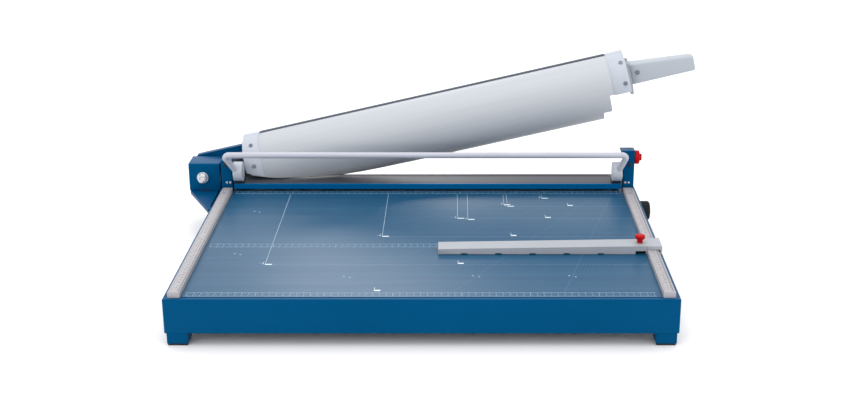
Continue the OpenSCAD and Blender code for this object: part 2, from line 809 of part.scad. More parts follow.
// Clamping shoe in the stop's foot; the screw presses it on the table
module stop_guide() {
    z0 = top_z + stop_lift;
    color([0.2, 0.2, 0.2]) difference() {
        block(stop_knob_x - stop_guide_w / 2, stop_knob_x + stop_guide_w / 2, fwd(stop_d) - 10,
            fwd(stop_d) + 10, z0, top_z + 5);
        rod_z(stop_knob_x, fwd(stop_d), top_z + 2.4, top_z + 30, 2.5 + gap);
    }
}
module stop_screw() {
    color([0.6, 0.61, 0.63]) rod_z(stop_knob_x, fwd(stop_d), top_z + 2.6, top_z + 20, 2.5);
}
module stop_knob() {
    color([0.75, 0.08, 0.12]) difference() {
        union() {
            rod_z(stop_knob_x, fwd(stop_d), top_z + 14 + gap, top_z + 21, 4.5);
            rod_z(stop_knob_x, fwd(stop_d), top_z + 21 - eps, top_z + 27, 8);
        }
        rod_z(stop_knob_x, fwd(stop_d), top_z + 10, top_z + 20 + eps, 2.5 + gap / 3);
        for (a = [0 : 30 : 330]) {
            translate([stop_knob_x, fwd(stop_d), top_z + 20]) rotate(a) translate([8.8, 0, 0]) {
                cylinder(r = 1.4, h = 9, $fn = 16);
            }
        }
    }
}

// Lock knob on the right tower
module lock_knob() {
    x0 = tower_x + tower_w + gap;
    color([0.75, 0.08, 0.12]) difference() {
        union() {
            rod_x(x0, x0 + 8.5, fwd(axle_d), top_z + lock_h, 12.3);
            block(x0 + 8.5 - eps, x0 + 13, fwd(axle_d) - 3, fwd(axle_d) + 3, top_z + lock_h - 6,
                top_z + lock_h + 6);
        }
        rod_x(x0 - 1, x0 + 6, fwd(axle_d), top_z + lock_h, lock_r + gap / 3);
    }
}
module lock_pin() {
    color([0.6, 0.61, 0.63]) rod_x(tower_x + 0.5, tower_x + tower_w + 6, fwd(axle_d), top_z + lock_h, lock_r);
}

// Narrow-strip gauge below and behind the table
function rack_z() = top_z + gauge_shaft_h + pinion_r + 1.2;
module gauge_brackets() {
    z = top_z + gauge_shaft_h;
    color([0.2, 0.3, 0.38]) for (x = [-rack_x - 14, rack_x + 14, half_w - 22]) {
        difference() {
            block(x - 4, x + 4, fwd(gauge_shaft_d + 9), fwd(gauge_shaft_d - 9), z - 9, deck_z - sheet_t);
            rod_x(x - 5, x + 5, fwd(gauge_shaft_d), z, gauge_shaft_r + run_fit);
        }
    }
}
module gauge_fence() {
    y0 = fwd(-fence_back);
    color([0.55, 0.57, 0.60]) difference() {
        union() {
            block(fence_left, fence_right, y0, y0 + 3, top_z - 30, top_z + 4);
            block(fence_left, fence_right, y0, y0 + 14, top_z - 33, top_z - 30 + eps);
        }
        for (side = [-1, 1]) {
            rod_y(side * rack_x, y0 - 5, y0 + 20, rack_z() + rack_h / 2, stud_r + gap / 3);
        }
    }
}
module gauge_racks() {
    y1 = fwd(-fence_back);
    y0 = y1 - rack_len;
    shaft_y = fwd(gauge_shaft_d);
    color([0.6, 0.61, 0.63]) for (side = [-1, 1]) {
        x = side * rack_x;
        difference() {
            block(x - rack_w / 2, x + rack_w / 2, y0, y1, rack_z(), rack_z() + rack_h);
            rod_y(x, y1 - 12, y1 + 1, rack_z() + rack_h / 2, 2.4);
        }
        for (i = [-teeth_front : 3]) {
            translate([x - rack_w / 2, shaft_y + (i + 0.5) * pitch, rack_z()]) rotate([90, 0, 90]) {
                linear_extrude(rack_w) polygon([
                    [-0.20 * pitch, 0.1], [0.20 * pitch, 0.1], [0.10 * pitch, -tooth_h + 0.4],
                    [-0.10 * pitch, -tooth_h + 0.4]
                ]);
            }
        }
        translate([x, y1 + 3, rack_z() + rack_h / 2]) rotate([-90, 0, 0]) screw(2.3, 13, 5, 3);
    }
}
module gauge_shaft() {
    color([0.6, 0.61, 0.63]) {
        rod_x(-rack_x - 20, half_w + 14, fwd(gauge_shaft_d), top_z + gauge_shaft_h, gauge_shaft_r);
    }
}
module gauge_pinions() {
    hub_r = pinion_r - 1.3;
    color([0.75, 0.76, 0.72]) for (side = [-1, 1]) {
        difference() {
            union() {
                rod_x(side * rack_x - 4, side * rack_x + 4, fwd(gauge_shaft_d), top_z + gauge_shaft_h, hub_r);
                for (i = [0 : pinion_teeth - 1]) {
                    translate([side * rack_x - 4, fwd(gauge_shaft_d), top_z + gauge_shaft_h]) {
                        rotate([i * 360 / pinion_teeth, 0, 0]) rotate([90, 0, 90]) linear_extrude(8) polygon([
                            [-0.2 * pitch, hub_r - 0.5], [0.2 * pitch, hub_r - 0.5],
                            [0.1 * pitch, pinion_r + 0.8], [-0.1 * pitch, pinion_r + 0.8]
                        ]);
                    }
                }
            }
            rod_x(-half_w, half_w, fwd(gauge_shaft_d), top_z + gauge_shaft_h, gauge_shaft_r + gap / 3);
        }
    }
}
module gauge_knob() {
    x0 = half_w + 2.5;
    color([0.07, 0.07, 0.07]) difference() {
        union() {
            rod_x(x0, x0 + 20, fwd(gauge_shaft_d), top_z + gauge_shaft_h, knob_r);
            translate([x0 + 20 - eps, fwd(gauge_shaft_d), top_z + gauge_shaft_h]) rotate([0, 90, 0]) {
                cylinder(r1 = knob_r, r2 = knob_r - 4, h = 5);
            }
        }
        rod_x(x0 - 1, half_w + 14.2, fwd(gauge_shaft_d), top_z + gauge_shaft_h, gauge_shaft_r + gap / 3);
        for (a = [0 : 20 : 340]) {
            translate([x0 + 3, fwd(gauge_shaft_d), top_z + gauge_shaft_h]) rotate([a, 0, 0]) {
                translate([0, 0, knob_r + 0.6]) rotate([0, 90, 0]) cylinder(r = 1.6, h = 30, $fn = 16);
            }
        }
    }
}

deck_plate();
front_skirt();
left_skirt();
right_skirt();
rear_beam();
cross_ribs();
legs();
rubber_feet();
table_panel();
left_scale_rail();
right_scale_rail();
rail_screws();
left_tower();
right_tower();
tower_screws();
lower_blade();
lower_blade_screws();
pivot_housing();
housing_bolts();
pivot_bolt();
pivot_spacer();
spring_washers();
pivot_nut();
bar_guide_pins();
lift_springs();
gauge_brackets();
arm_beam();
pivot_bush();
knife();
knife_screws();
left_guard_carrier();
right_guard_carrier();
handle_collar();
handle();
handle_screw();
guard_shell();
guard_edge_rail();
left_end_cap();
right_end_cap();
cap_screws();
press_bar();
bar_edge_strip();
wear_pads();
left_cam_disc();
right_cam_disc();
clamp_tube();
cam_axles();
back_stop();
stop_guide();
stop_screw();
stop_knob();
lock_knob();
lock_pin();
gauge_fence();
gauge_racks();
gauge_shaft();
gauge_pinions();
gauge_knob();
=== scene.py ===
# %% [markdown]
# # A guillotine paper cutter
#
# This lesson builds the finish and the fine shapes of a paper cutter around its engineering model.
# The engineering model gives every place and size, and each body that moves. Each cell below makes
# one piece or one finish, says how it could be made, and prints what it made.

import json
import math

import bmesh
import bpy
from mathutils import Matrix, Vector


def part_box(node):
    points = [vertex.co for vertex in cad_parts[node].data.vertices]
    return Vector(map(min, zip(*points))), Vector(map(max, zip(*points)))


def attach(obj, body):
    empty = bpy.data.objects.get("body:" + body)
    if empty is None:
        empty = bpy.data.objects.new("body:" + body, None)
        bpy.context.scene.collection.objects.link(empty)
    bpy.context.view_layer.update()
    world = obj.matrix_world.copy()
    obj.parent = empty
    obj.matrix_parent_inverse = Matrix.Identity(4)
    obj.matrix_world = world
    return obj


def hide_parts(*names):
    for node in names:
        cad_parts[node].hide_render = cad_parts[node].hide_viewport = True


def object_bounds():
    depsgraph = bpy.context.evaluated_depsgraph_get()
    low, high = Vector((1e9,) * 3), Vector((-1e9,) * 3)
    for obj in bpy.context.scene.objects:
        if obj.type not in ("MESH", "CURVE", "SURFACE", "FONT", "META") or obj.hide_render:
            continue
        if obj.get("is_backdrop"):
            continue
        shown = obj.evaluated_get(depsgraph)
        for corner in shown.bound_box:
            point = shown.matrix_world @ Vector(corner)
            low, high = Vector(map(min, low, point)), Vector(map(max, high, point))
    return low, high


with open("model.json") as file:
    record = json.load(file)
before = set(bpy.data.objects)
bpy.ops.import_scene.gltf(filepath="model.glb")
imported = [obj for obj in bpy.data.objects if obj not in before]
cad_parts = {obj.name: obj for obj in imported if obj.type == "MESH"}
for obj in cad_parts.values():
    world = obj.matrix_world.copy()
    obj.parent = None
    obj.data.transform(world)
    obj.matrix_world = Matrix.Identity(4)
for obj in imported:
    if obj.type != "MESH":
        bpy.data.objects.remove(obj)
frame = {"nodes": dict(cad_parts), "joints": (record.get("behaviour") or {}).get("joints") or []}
cad_box = [list(corner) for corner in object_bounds()]

# %% [markdown]
# The table gives the driving places: its surface, the line that the knife cuts along at its back
# edge, the two rails that bound the sheet, and the pivot that the arm swings on. They are read from
# the engineering model, so a change there moves everything here. All lengths are in metres, so a
# millimetre gets a name of its own.

# %% Places of the table
mm = 0.001


def low(node):
    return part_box(node)[0]


def high(node):
    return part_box(node)[1]


top_z = high("table_panel").z
deck_z = high("deck_plate").z
skirt_z = low("front_skirt").z
cut_y = high("lower_blade").y
front_y = low("front_skirt").y
half_w = high("deck_plate").x
rail_low, rail_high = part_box("right_scale_rail")
inner_x = rail_low.x
rail_w = rail_high.x - rail_low.x
rail_front, rail_back = cut_y - rail_low.y, cut_y - rail_high.y


def ahead(distance):
    """The y of a place that lies this far from the cutting line, towards the operator."""
    return cut_y - distance


print("table", round(2 * half_w, 3), "wide,", round(cut_y - front_y, 3), "deep,", round(top_z, 4), "high")

# %% [markdown]
# The arm is drawn lying level and then raised about its pivot, and the guard turns about an axis
# that rides on the arm. Both come from the joints: a joint says where its pivot is and how far it
# turns. Two matrices take a point from the level arm, or from the guard's own axis, to its place.

# %% Places of the arm and the guard
joints = {joint["name"]: joint for joint in frame["joints"]}
arm_joint = joints["arm_pivot"]
pivot = Vector(arm_joint["pos_m"])
open_angle = math.radians(-arm_joint["range_deg"][0])
raised = Matrix.Translation((pivot.x, cut_y, pivot.z)) @ Matrix.Rotation(-open_angle, 4, "Y")
guard_origin = raised.inverted() @ Vector(joints["guard_turn"]["pos_m"])
on_guard = raised @ Matrix.Translation((0, guard_origin.y, guard_origin.z))
guard_r = 56 * mm


def level_box(node):
    """The corners of a node of the arm as it lies when the arm is level."""
    back = raised.inverted()
    points = [back @ v.co for v in frame["nodes"][node].data.vertices]
    return (
        Vector([min(p[i] for p in points) for i in range(3)]),
        Vector([max(p[i] for p in points) for i in range(3)]),
    )


print("pivot", [round(c, 4) for c in pivot], "open by", round(math.degrees(open_angle), 1), "degrees")

# %% [markdown]
# ## Camera
# The cutter is seen from the front and from above, straight on. The camera's lens, height and tilt
# set how fast the two rails draw together, so they are given as a photographer would note them: a
# lens in millimetres, a place and a tilt. A shift slides the picture without turning the camera.

# %% Camera
camera_data = bpy.data.cameras.new("camera")
camera_away, camera_up, camera_aside, tilt_down = 2269.4 * mm, 740.2 * mm, 45.55 * mm, 19.168
camera_data.lens = 54.16
camera_data.sensor_width = 36
camera_data.shift_x = -0.0269
camera = bpy.data.objects.new("camera", camera_data)
camera.location = (camera_aside, ahead(camera_away), top_z + camera_up)
camera.rotation_euler = (math.radians(90 - tilt_down), 0, 0)
bpy.context.scene.collection.objects.link(camera)
bpy.context.scene.camera = camera
print("camera", [round(c, 3) for c in camera.location], "lens", camera_data.lens)

# %% [markdown]
# ## Floor and light
# A product of this kind stands on a seamless white table under large soft lamps. A wide white
# floor, a white surrounding and three large area lamps give that: one above, one at the front left
# and one behind that lays a long soft reflection on the glossy panel.

# %% Floor and light
def paint_sockets(shader, **values):
    for name, value in values.items():
        shader.inputs[name.replace("_", " ")].default_value = value


def plain_stage_material():
    material = bpy.data.materials.new("studio_floor")
    material.use_nodes = True
    shader = material.node_tree.nodes["Principled BSDF"]
    paint_sockets(shader, Base_Color=(0.93, 0.93, 0.93, 1), Roughness=0.75)
    return material


floor_mesh = bpy.data.meshes.new("studio_floor")
floor_half = 12.0
floor_corners = [(x * floor_half, y * floor_half, 0) for x, y in ((-1, -1), (1, -1), (1, 1), (-1, 1))]
floor_mesh.from_pydata(floor_corners, [], [(0, 1, 2, 3)])
floor = bpy.data.objects.new("studio_floor", floor_mesh)
floor_mesh.materials.append(plain_stage_material())
bpy.context.scene.collection.objects.link(floor)
floor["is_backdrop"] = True

world = bpy.data.worlds.new("studio")
world.use_nodes = True
background = world.node_tree.nodes["Background"]
paint_sockets(background, Color=(1, 1, 1, 1), Strength=1.22)
bpy.context.scene.world = world
bpy.context.scene.view_settings.view_transform = "Standard"


def area_lamp(name, place, aim, size, watts):
    lamp = bpy.data.lights.new(name, "AREA")
    lamp.shape = "RECTANGLE"
    lamp.size, lamp.size_y = size
    lamp.energy = watts
    holder = bpy.data.objects.new(name, lamp)
    holder.location = place
    holder.rotation_euler = (Vector(aim) - Vector(place)).to_track_quat("-Z", "Y").to_euler()
    bpy.context.scene.collection.objects.link(holder)


area_lamp("lamp_above", (0.1, 0.1, 2.4), (0, 0, 0), (2.6, 2.0), 18)
area_lamp("lamp_front", (-1.3, -2.2, 1.5), (0, 0, 0.1), (1.6, 1.4), 8)
area_lamp("lamp_behind", (-0.3, 3.1, 1.0), (-0.1, 0, 0), (0.8, 1.3), 12)

# %% [markdown]
# ## Finishes
# Each finish is a small shader tree. They all begin in the same way: a Principled shader, and a
# pattern read from the piece's own coordinates, so that a grain stays in its place when the arm
# moves. A few helpers keep the trees short: a screen colour turned into linear light, a noise that
# can be stretched into a grain, a blend of two colours and a bump.

# %% Shader helpers
def shade(red, green, blue):
    """A screen colour, 0 to 255 a channel, as the linear light that a shader wants."""
    channels = [c / 255 for c in (red, green, blue)]
    return tuple(c / 12.92 if c <= 0.04045 else ((c + 0.055) / 1.055) ** 2.4 for c in channels) + (1,)


def tinted(colour, factor):
    return tuple(c * factor for c in colour[:3]) + (1,)


class Finish:
    """A material being made: its tree, its shader and its patterns."""

    def __init__(self, name, **values):
        self.material = bpy.data.materials.new(name)
        self.material.use_nodes = True
        self.tree = self.material.node_tree
        self.shader = self.tree.nodes["Principled BSDF"]
        self.place = self.add("ShaderNodeTexCoord").outputs["Object"]
        paint_sockets(self.shader, **values)

    def add(self, kind, **settings):
        node = self.tree.nodes.new(kind)
        for name, value in settings.items():
            setattr(node, name, value)
        return node

    def link(self, a, b):
        self.tree.links.new(a, b)

    def noise(self, grain, detail=3, lean=0.0):
        """A noise with this many cells a metre along x, y and z, its x turned up by lean."""
        mapping = self.add("ShaderNodeMapping", vector_type="TEXTURE")
        mapping.inputs["Scale"].default_value = [1 / g for g in grain]
        mapping.inputs["Rotation"].default_value = (0, -lean, 0)
        noise = self.add("ShaderNodeTexNoise")
        paint_sockets(noise, Scale=1, Detail=detail, Roughness=0.6)
        self.link(self.place, mapping.inputs["Vector"])
        self.link(mapping.outputs["Vector"], noise.inputs["Vector"])
        return noise.outputs["Fac"]

    def spread(self, value, low_value, high_value):
        """Stretches the middle of a noise over low to high."""
        ramp = self.add("ShaderNodeMapRange")
        paint_sockets(ramp, From_Min=0.3, From_Max=0.7, To_Min=low_value, To_Max=high_value)
        self.link(value, ramp.inputs["Value"])
        return ramp.outputs["Result"]

    def blend(self, value, first, second):
        mix = self.add("ShaderNodeMix", data_type="RGBA")
        self.link(value, mix.inputs["Factor"])
        colour_in = [s for s in mix.inputs if s.type == "RGBA"]
        for socket, colour in zip(colour_in, (first, second)):
            if isinstance(colour, tuple):
                socket.default_value = colour
            else:
                self.link(colour, socket)
        return [s for s in mix.outputs if s.type == "RGBA"][0]

    def colour(self, value):
        self.link(value, self.shader.inputs["Base Color"])

    def roughness(self, value, low_value, high_value):
        self.link(self.spread(value, low_value, high_value), self.shader.inputs["Roughness"])

    def bump(self, height, depth, strength=1.0):
        bump = self.add("ShaderNodeBump")
        paint_sockets(bump, Distance=depth, Strength=strength)
        self.link(height, bump.inputs["Height"])
        self.link(bump.outputs["Normal"], self.shader.inputs["Normal"])


print("shader helpers are ready")

# %% [markdown]
# Powder paint is sprayed dry and baked, so it has a faint orange-peel skin and a soft sheen. A fine
# bump gives the skin, and a slow change of shade keeps a large face from looking flat.

# %% Powder paint
def powder_paint(name, colour, roughness=0.42, skin=0.00003):
    finish = Finish(name, Specular_IOR_Level=0.28, Specular_Tint=(0.02, 0.5, 1.0, 1))
    slow = finish.noise((7, 7, 7))
    finish.colour(finish.blend(finish.spread(slow, 0, 1), tinted(colour, 0.96), tinted(colour, 1.05)))
    peel = finish.noise((650, 650, 650), detail=2)
    finish.roughness(peel, roughness - 0.05, roughness + 0.06)
    finish.bump(peel, skin)
    return finish.material


blue_paint = powder_paint("blue_powder_paint", shade(0, 66, 107))
# The press bar's front strip takes a lighter copy of the same blue paint: painted light, to lift the shade
# that the guard and the clamp tube lay on it.
lightened_strip_blue = powder_paint("strip_blue_paint", shade(0, 84, 136))
# The beam and the ribs under the table take a darker, duller copy of the same blue paint: painted shade for
# their place under the sheet.
shaded_under_blue = powder_paint("inner_blue_paint", shade(0, 50, 82), roughness=0.5)
print("paints:", blue_paint.name, shaded_under_blue.name)

# %% [markdown]
# The work surface is a glossy printed sheet with a brushed look: long fine streaks from side to
# side. A noise that is stretched along x makes the streaks, in the colour and in the sheen.

# %% Printed surface
def streaked_panel():
    finish = Finish("printed_panel", Specular_IOR_Level=0.26)
    fine = finish.noise((3, 900, 1), detail=4)
    broad = finish.noise((1.6, 70, 1), detail=3)
    base = finish.blend(finish.spread(fine, 0, 1), shade(20, 74, 108), shade(34, 88, 120))
    finish.colour(finish.blend(finish.spread(broad, 0.0, 0.9), base, shade(16, 70, 104)))
    finish.roughness(fine, 0.30, 0.42)
    finish.bump(fine, 0.000004)
    return finish.material


printed_panel = streaked_panel()


def ink(name, colour):
    finish = Finish(name, Roughness=0.55)
    patch = finish.noise((400, 400, 400))
    finish.colour(finish.blend(finish.spread(patch, 0, 1), tinted(colour, 0.88), colour))
    return finish.material


white_ink = ink("white_ink", shade(222, 236, 244))
pale_ink = ink("pale_ink", shade(146, 182, 206))
faint_ink = ink("faint_ink", shade(88, 130, 160))
black_ink = ink("black_ink", shade(24, 26, 34))
red_ink = ink("red_ink", shade(150, 40, 44))
print("panel and inks:", printed_panel.name, white_ink.name, pale_ink.name, black_ink.name)

# %% [markdown]
# The rails, the press bar and the guard are drawn or rolled alloy. Drawing leaves a grain along the
# length, and anodising or clear lacquer softens its shine. One function makes them all: it takes
# the direction of the grain from how many cells a metre it has along each axis.

# %% Alloys
def drawn_alloy(name, colour, grain, rough, metallic, lean=0.0):
    finish = Finish(name, Metallic=metallic)
    line = finish.noise(grain, detail=4, lean=lean)
    cloud = finish.noise((9, 9, 9))
    base = finish.blend(finish.spread(line, 0, 1), tinted(colour, 0.93), tinted(colour, 1.04))
    finish.colour(finish.blend(finish.spread(cloud, 0, 0.3), base, tinted(colour, 0.95)))
    finish.roughness(line, rough - 0.04, rough + 0.05)
    finish.bump(line, 0.000006)
    return finish.material


along_rail, along_bar, along_arm = (900, 5, 900), (5, 900, 900), (3, 700, 700)
rail_alloy = drawn_alloy("rail_alloy", shade(163, 161, 165), along_rail, 0.5, 0.1)
bar_alloy = drawn_alloy("bar_alloy", shade(58, 60, 70), along_bar, 0.5, 0.2)
guard_alloy = drawn_alloy("guard_alloy", shade(178, 182, 188), along_arm, 0.5, 0.0, open_angle)
trim_alloy = drawn_alloy("trim_alloy", shade(118, 126, 136), along_arm, 0.45, 0.2, open_angle)
gauge_alloy = drawn_alloy("gauge_alloy", shade(150, 153, 158), along_bar, 0.4, 0.8)
print("alloys:", rail_alloy.name, bar_alloy.name, guard_alloy.name, trim_alloy.name)

# %% [markdown]
# The knife and the lower blade are ground steel. A grinding wheel leaves fine lines across the
# blade, so the grain stands on end here, and the metal is a full mirror that the lines roughen.
# Screws, bolts and shafts are plated or blackened steel, and the pivot bush is bronze.

# %% Steels and bronze
def ground_steel(name, colour, grain, rough, lean=0.0):
    finish = Finish(name, Metallic=1.0)
    line = finish.noise(grain, detail=5, lean=lean)
    finish.colour(finish.blend(finish.spread(line, 0, 1), tinted(colour, 0.85), colour))
    finish.roughness(line, rough - 0.06, rough + 0.08)
    finish.bump(line, 0.000008)
    return finish.material


blade_steel = ground_steel("ground_blade_steel", shade(168, 172, 178), (1500, 4, 4), 0.30, lean=open_angle)
bright_steel = ground_steel("bright_plated_steel", shade(200, 203, 208), (300, 300, 300), 0.24)
screw_steel = ground_steel("screw_steel", shade(120, 125, 133), (300, 300, 300), 0.3)
dark_steel = ground_steel("blackened_steel", shade(58, 62, 70), (300, 300, 300), 0.38)
bronze = ground_steel("oiled_bronze", shade(176, 136, 72), (400, 400, 400), 0.32)
print("metals:", blade_steel.name, bright_steel.name, dark_steel.name, bronze.name)

# %% [markdown]
# The end caps, the handle, the knobs and the feet are moulded. Moulded plastic takes the fine grain
# of its tool, and rubber is duller and deeper. The clamp tube has a light plastic coat.

# %% Plastics and rubber
def moulded(name, colour, rough, grain=900, depth=0.00002, shine=0.35):
    finish = Finish(name, Specular_IOR_Level=shine)
    cell = finish.noise((grain, grain, grain), detail=2)
    cloud = finish.noise((12, 12, 12))
    finish.colour(finish.blend(finish.spread(cloud, 0, 1), tinted(colour, 0.96), tinted(colour, 1.03)))
    finish.roughness(cell, rough - 0.05, rough + 0.05)
    finish.bump(cell, depth)
    return finish.material


light_moulding = moulded("light_moulding", shade(178, 184, 194), 0.5)
handle_moulding = moulded("handle_moulding", shade(170, 176, 184), 0.5)
# The back stop's grey is its own colour with a slight blue tint added, a painted reflection of the blue
# work surface.
stop_moulding = moulded("stop_moulding", shade(160, 164, 171), 0.46)
seal_grey = moulded("seal_grey", shade(70, 80, 92), 0.5)
tube_coat = moulded("tube_coat", shade(182, 184, 194), 0.35, grain=500, depth=0.00001)
red_plastic = moulded("red_plastic", shade(172, 4, 10), 0.42, shine=0.12)
black_plastic = moulded("black_plastic", shade(14, 15, 16), 0.45, shine=0.2)
black_rubber = moulded("black_rubber", shade(20, 21, 22), 0.7, grain=1400, depth=0.00004)
print("mouldings:", light_moulding.name, handle_moulding.name, red_plastic.name, black_rubber.name)

# %% [markdown]
# ## Making pieces
# A piece starts as a mesh in code. A few helpers repeat: one keeps a mesh as an object, one rounds
# its edges with a Bevel modifier and turns the result into a plain mesh, and one gives the piece
# its finish and its body and hides the engineering nodes that it stands for.

# %% Piece helpers
def as_object(bm, name, recalculate=True):
    if recalculate:
        bmesh.ops.remove_doubles(bm, verts=bm.verts, dist=1e-7)
        bmesh.ops.recalc_face_normals(bm, faces=bm.faces)
    mesh = bpy.data.meshes.new(name)
    bm.to_mesh(mesh)
    bm.free()
    obj = bpy.data.objects.new(name, mesh)
    bpy.context.scene.collection.objects.link(obj)
    return obj


def plain(obj):
    """Turns what the modifiers make into the object's own mesh."""
    result = obj.evaluated_get(bpy.context.evaluated_depsgraph_get())
    mesh = bpy.data.meshes.new_from_object(result)
    obj.modifiers.clear()
    obj.data = mesh
    mesh.name = obj.name
    return obj


def smooth(obj, angle=32):
    obj.data.shade_smooth()
    obj.data.set_sharp_from_angle(angle=math.radians(angle))
    return obj


def eased(obj, width, segments=2, angle=32):
    """Rounds every edge that is sharper than the angle."""
    smooth(obj, angle)
    bevel = obj.modifiers.new("edge", "BEVEL")
    bevel.width = width
    bevel.segments = segments
    bevel.limit_method = "ANGLE"
    bevel.angle_limit = math.radians(angle)
    bevel.harden_normals = True
    return plain(obj)


def finished(obj, material, body, slot, *nodes):
    obj.data.materials.clear()
    obj.data.materials.append(material)
    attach(obj, body)
    if nodes:
        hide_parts(*nodes)
    print(f"{obj.name}: {len(obj.data.polygons)} faces, on {body}")
    return obj


def join(name, parts):
    """One object from several meshes that lie where they belong."""
    bm = bmesh.new()
    for part in parts:
        bm.from_mesh(part.data)
        bpy.data.objects.remove(part)
    return as_object(bm, name, recalculate=False)


def from_cad(node, name, ease, material, body, slot, angle=35):
    """An engineering node with its triangles merged and its edges eased by ease millimetres."""
    bm = bmesh.new()
    bm.from_mesh(frame["nodes"][node].data)
    bmesh.ops.remove_doubles(bm, verts=bm.verts, dist=2e-6)
    bmesh.ops.dissolve_limit(bm, angle_limit=math.radians(0.5), verts=bm.verts, edges=bm.edges)
    copy = eased(as_object(bm, name, recalculate=False), ease * mm, 2, angle)
    return finished(copy, material, body, slot, node)


# %% [markdown]
# Most metal pieces are a flat outline drawn out to a thickness, or a profile turned about a line.
# Two helpers make those shapes in any frame: a prism from an outline, and a turned solid, whose
# profile lists radius and height and whose rim can be fluted by a formula.

# %% Shape helpers
def skin(bm, rings, closed=True):
    """Faces between rings of points that follow each other, and over both ends when closed."""
    for a, b in zip(rings, rings[1:]):
        for i in range(len(a)):
            j = (i + 1) % len(a)
            bm.faces.new((a[i], a[j], b[j], b[i]))
    if closed:
        bm.faces.new(rings[0])
        bm.faces.new(rings[-1])


def prism(outline, start, end, frame_of=None, name="prism"):
    """An outline of (a, b) points, drawn out along the third axis of frame_of from start to end."""
    matrix = frame_of or Matrix.Identity(4)
    bm = bmesh.new()
    skin(bm, [[bm.verts.new(matrix @ Vector((a, b, c))) for a, b in outline] for c in (start, end)])
    return as_object(bm, name)


def box(x0, x1, y0, y1, z0, z1):
    return prism([(x0, y0), (x1, y0), (x1, y1), (x0, y1)], z0, z1, name="box")


def axes(origin, x_axis, y_axis):
    """A frame with these two axes, and the third square to them."""
    x_axis, y_axis = Vector(x_axis).normalized(), Vector(y_axis).normalized()
    z_axis = x_axis.cross(y_axis)
    matrix = Matrix((x_axis, y_axis, z_axis)).transposed().to_4x4()
    matrix.translation = Vector(origin)
    return matrix


def along_x():
    """Outline in y and z, drawn out along x."""
    return axes((0, 0, 0), (0, 1, 0), (0, 0, 1))


def along_y():
    """Outline in x and z, drawn out along -y, so thickness runs towards the operator."""
    return axes((0, 0, 0), (1, 0, 0), (0, 0, 1))


def turned(profile, place, steps=64, flute=None, name="turned"):
    """A profile of (radius, height) points turned about the third axis of place, and closed.

    A radius of nothing closes to a point, and flute scales the radius by a formula.
    """
    bm = bmesh.new()
    rings = []
    for radius, height in profile:
        if radius == 0:
            rings.append([bm.verts.new(place @ Vector((0, 0, height)))])
            continue
        ring = []
        for i in range(steps):
            angle = 2 * math.pi * i / steps
            r = radius * (flute(angle, radius, height) if flute else 1)
            ring.append(bm.verts.new(place @ Vector((r * math.cos(angle), r * math.sin(angle), height))))
        rings.append(ring)
    for a, b in zip(rings, rings[1:]):
        for i in range(steps):
            j = (i + 1) % steps
            if len(a) == 1:
                bm.faces.new((a[0], b[j], b[i]))
            elif len(b) == 1:
                bm.faces.new((a[i], a[j], b[0]))
            else:
                bm.faces.new((a[i], a[j], b[j], b[i]))
    for ring in (rings[0], rings[-1]):
        if len(ring) > 1:
            bm.faces.new(ring)
    return as_object(bm, name)


def arc(centre, radius, start, end, steps=6):
    """Points of a round corner, in degrees from the first axis."""
    angles = [math.radians(start + (end - start) * i / steps) for i in range(steps + 1)]
    return [(centre[0] + radius * math.cos(a), centre[1] + radius * math.sin(a)) for a in angles]


print("shape helpers are ready")

# %% [markdown]
# ## Repeating things
# Geometry Nodes make what repeats. Each tree below is built once, takes its sizes as named inputs,
# and ends with Realize Instances and Set Material. A helper runs a tree and keeps the plain mesh.

# %% Geometry Nodes helpers
def new_tree(name, *inputs):
    tree = bpy.data.node_groups.new(name, "GeometryNodeTree")
    tree.interface.new_socket("Geometry", in_out="INPUT", socket_type="NodeSocketGeometry")
    for label, kind in inputs:
        tree.interface.new_socket(label, in_out="INPUT", socket_type="NodeSocket" + kind)
    tree.interface.new_socket("Material", in_out="INPUT", socket_type="NodeSocketMaterial")
    tree.interface.new_socket("Geometry", in_out="OUTPUT", socket_type="NodeSocketGeometry")
    return tree, tree.nodes.new("NodeGroupInput"), tree.nodes.new("NodeGroupOutput")


def feed(tree, given, node, **sockets):
    """Links named inputs of the tree to sockets of a node: socket name to input name."""
    for socket, label in sockets.items():
        tree.links.new(given.outputs[label], node.inputs[socket.replace("_", " ")])


def stand_on(tree, points, instance):
    """Puts an instance on every point."""
    place = tree.nodes.new("GeometryNodeInstanceOnPoints")
    tree.links.new(points, place.inputs["Points"])
    tree.links.new(instance, place.inputs["Instance"])
    return place


def end_tree(tree, given, end, geometry):
    realize = tree.nodes.new("GeometryNodeRealizeInstances")
    paint = tree.nodes.new("GeometryNodeSetMaterial")
    tree.links.new(geometry, realize.inputs["Geometry"])
    tree.links.new(realize.outputs["Geometry"], paint.inputs["Geometry"])
    tree.links.new(given.outputs["Material"], paint.inputs["Material"])
    tree.links.new(paint.outputs["Geometry"], end.inputs["Geometry"])
    return tree


def run_tree(tree, name, points=((0, 0, 0),), directions=None, **values):
    mesh = bpy.data.meshes.new(name)
    mesh.from_pydata([tuple(p) for p in points], [(i, i + 1) for i in range(len(points) - 1)], [])
    if directions:
        attribute = mesh.attributes.new("axis", "FLOAT_VECTOR", "POINT")
        attribute.data.foreach_set("vector", [c for d in directions for c in d])
    obj = bpy.data.objects.new(name, mesh)
    bpy.context.scene.collection.objects.link(obj)
    modifier = obj.modifiers.new("nodes", "NODES")
    modifier.node_group = tree
    for socket in tree.interface.items_tree:
        label = socket.name.replace(" ", "_")
        if socket.in_out == "INPUT" and label in values:
            modifier[socket.identifier] = values[label]
    return plain(obj)


# %% [markdown]
# A scale is a line of ticks a millimetre apart, longer at each fifth and longer again at each
# tenth. The tree lays points on a line, works out each tick's length from its number, and puts a
# thin block of ink on each.

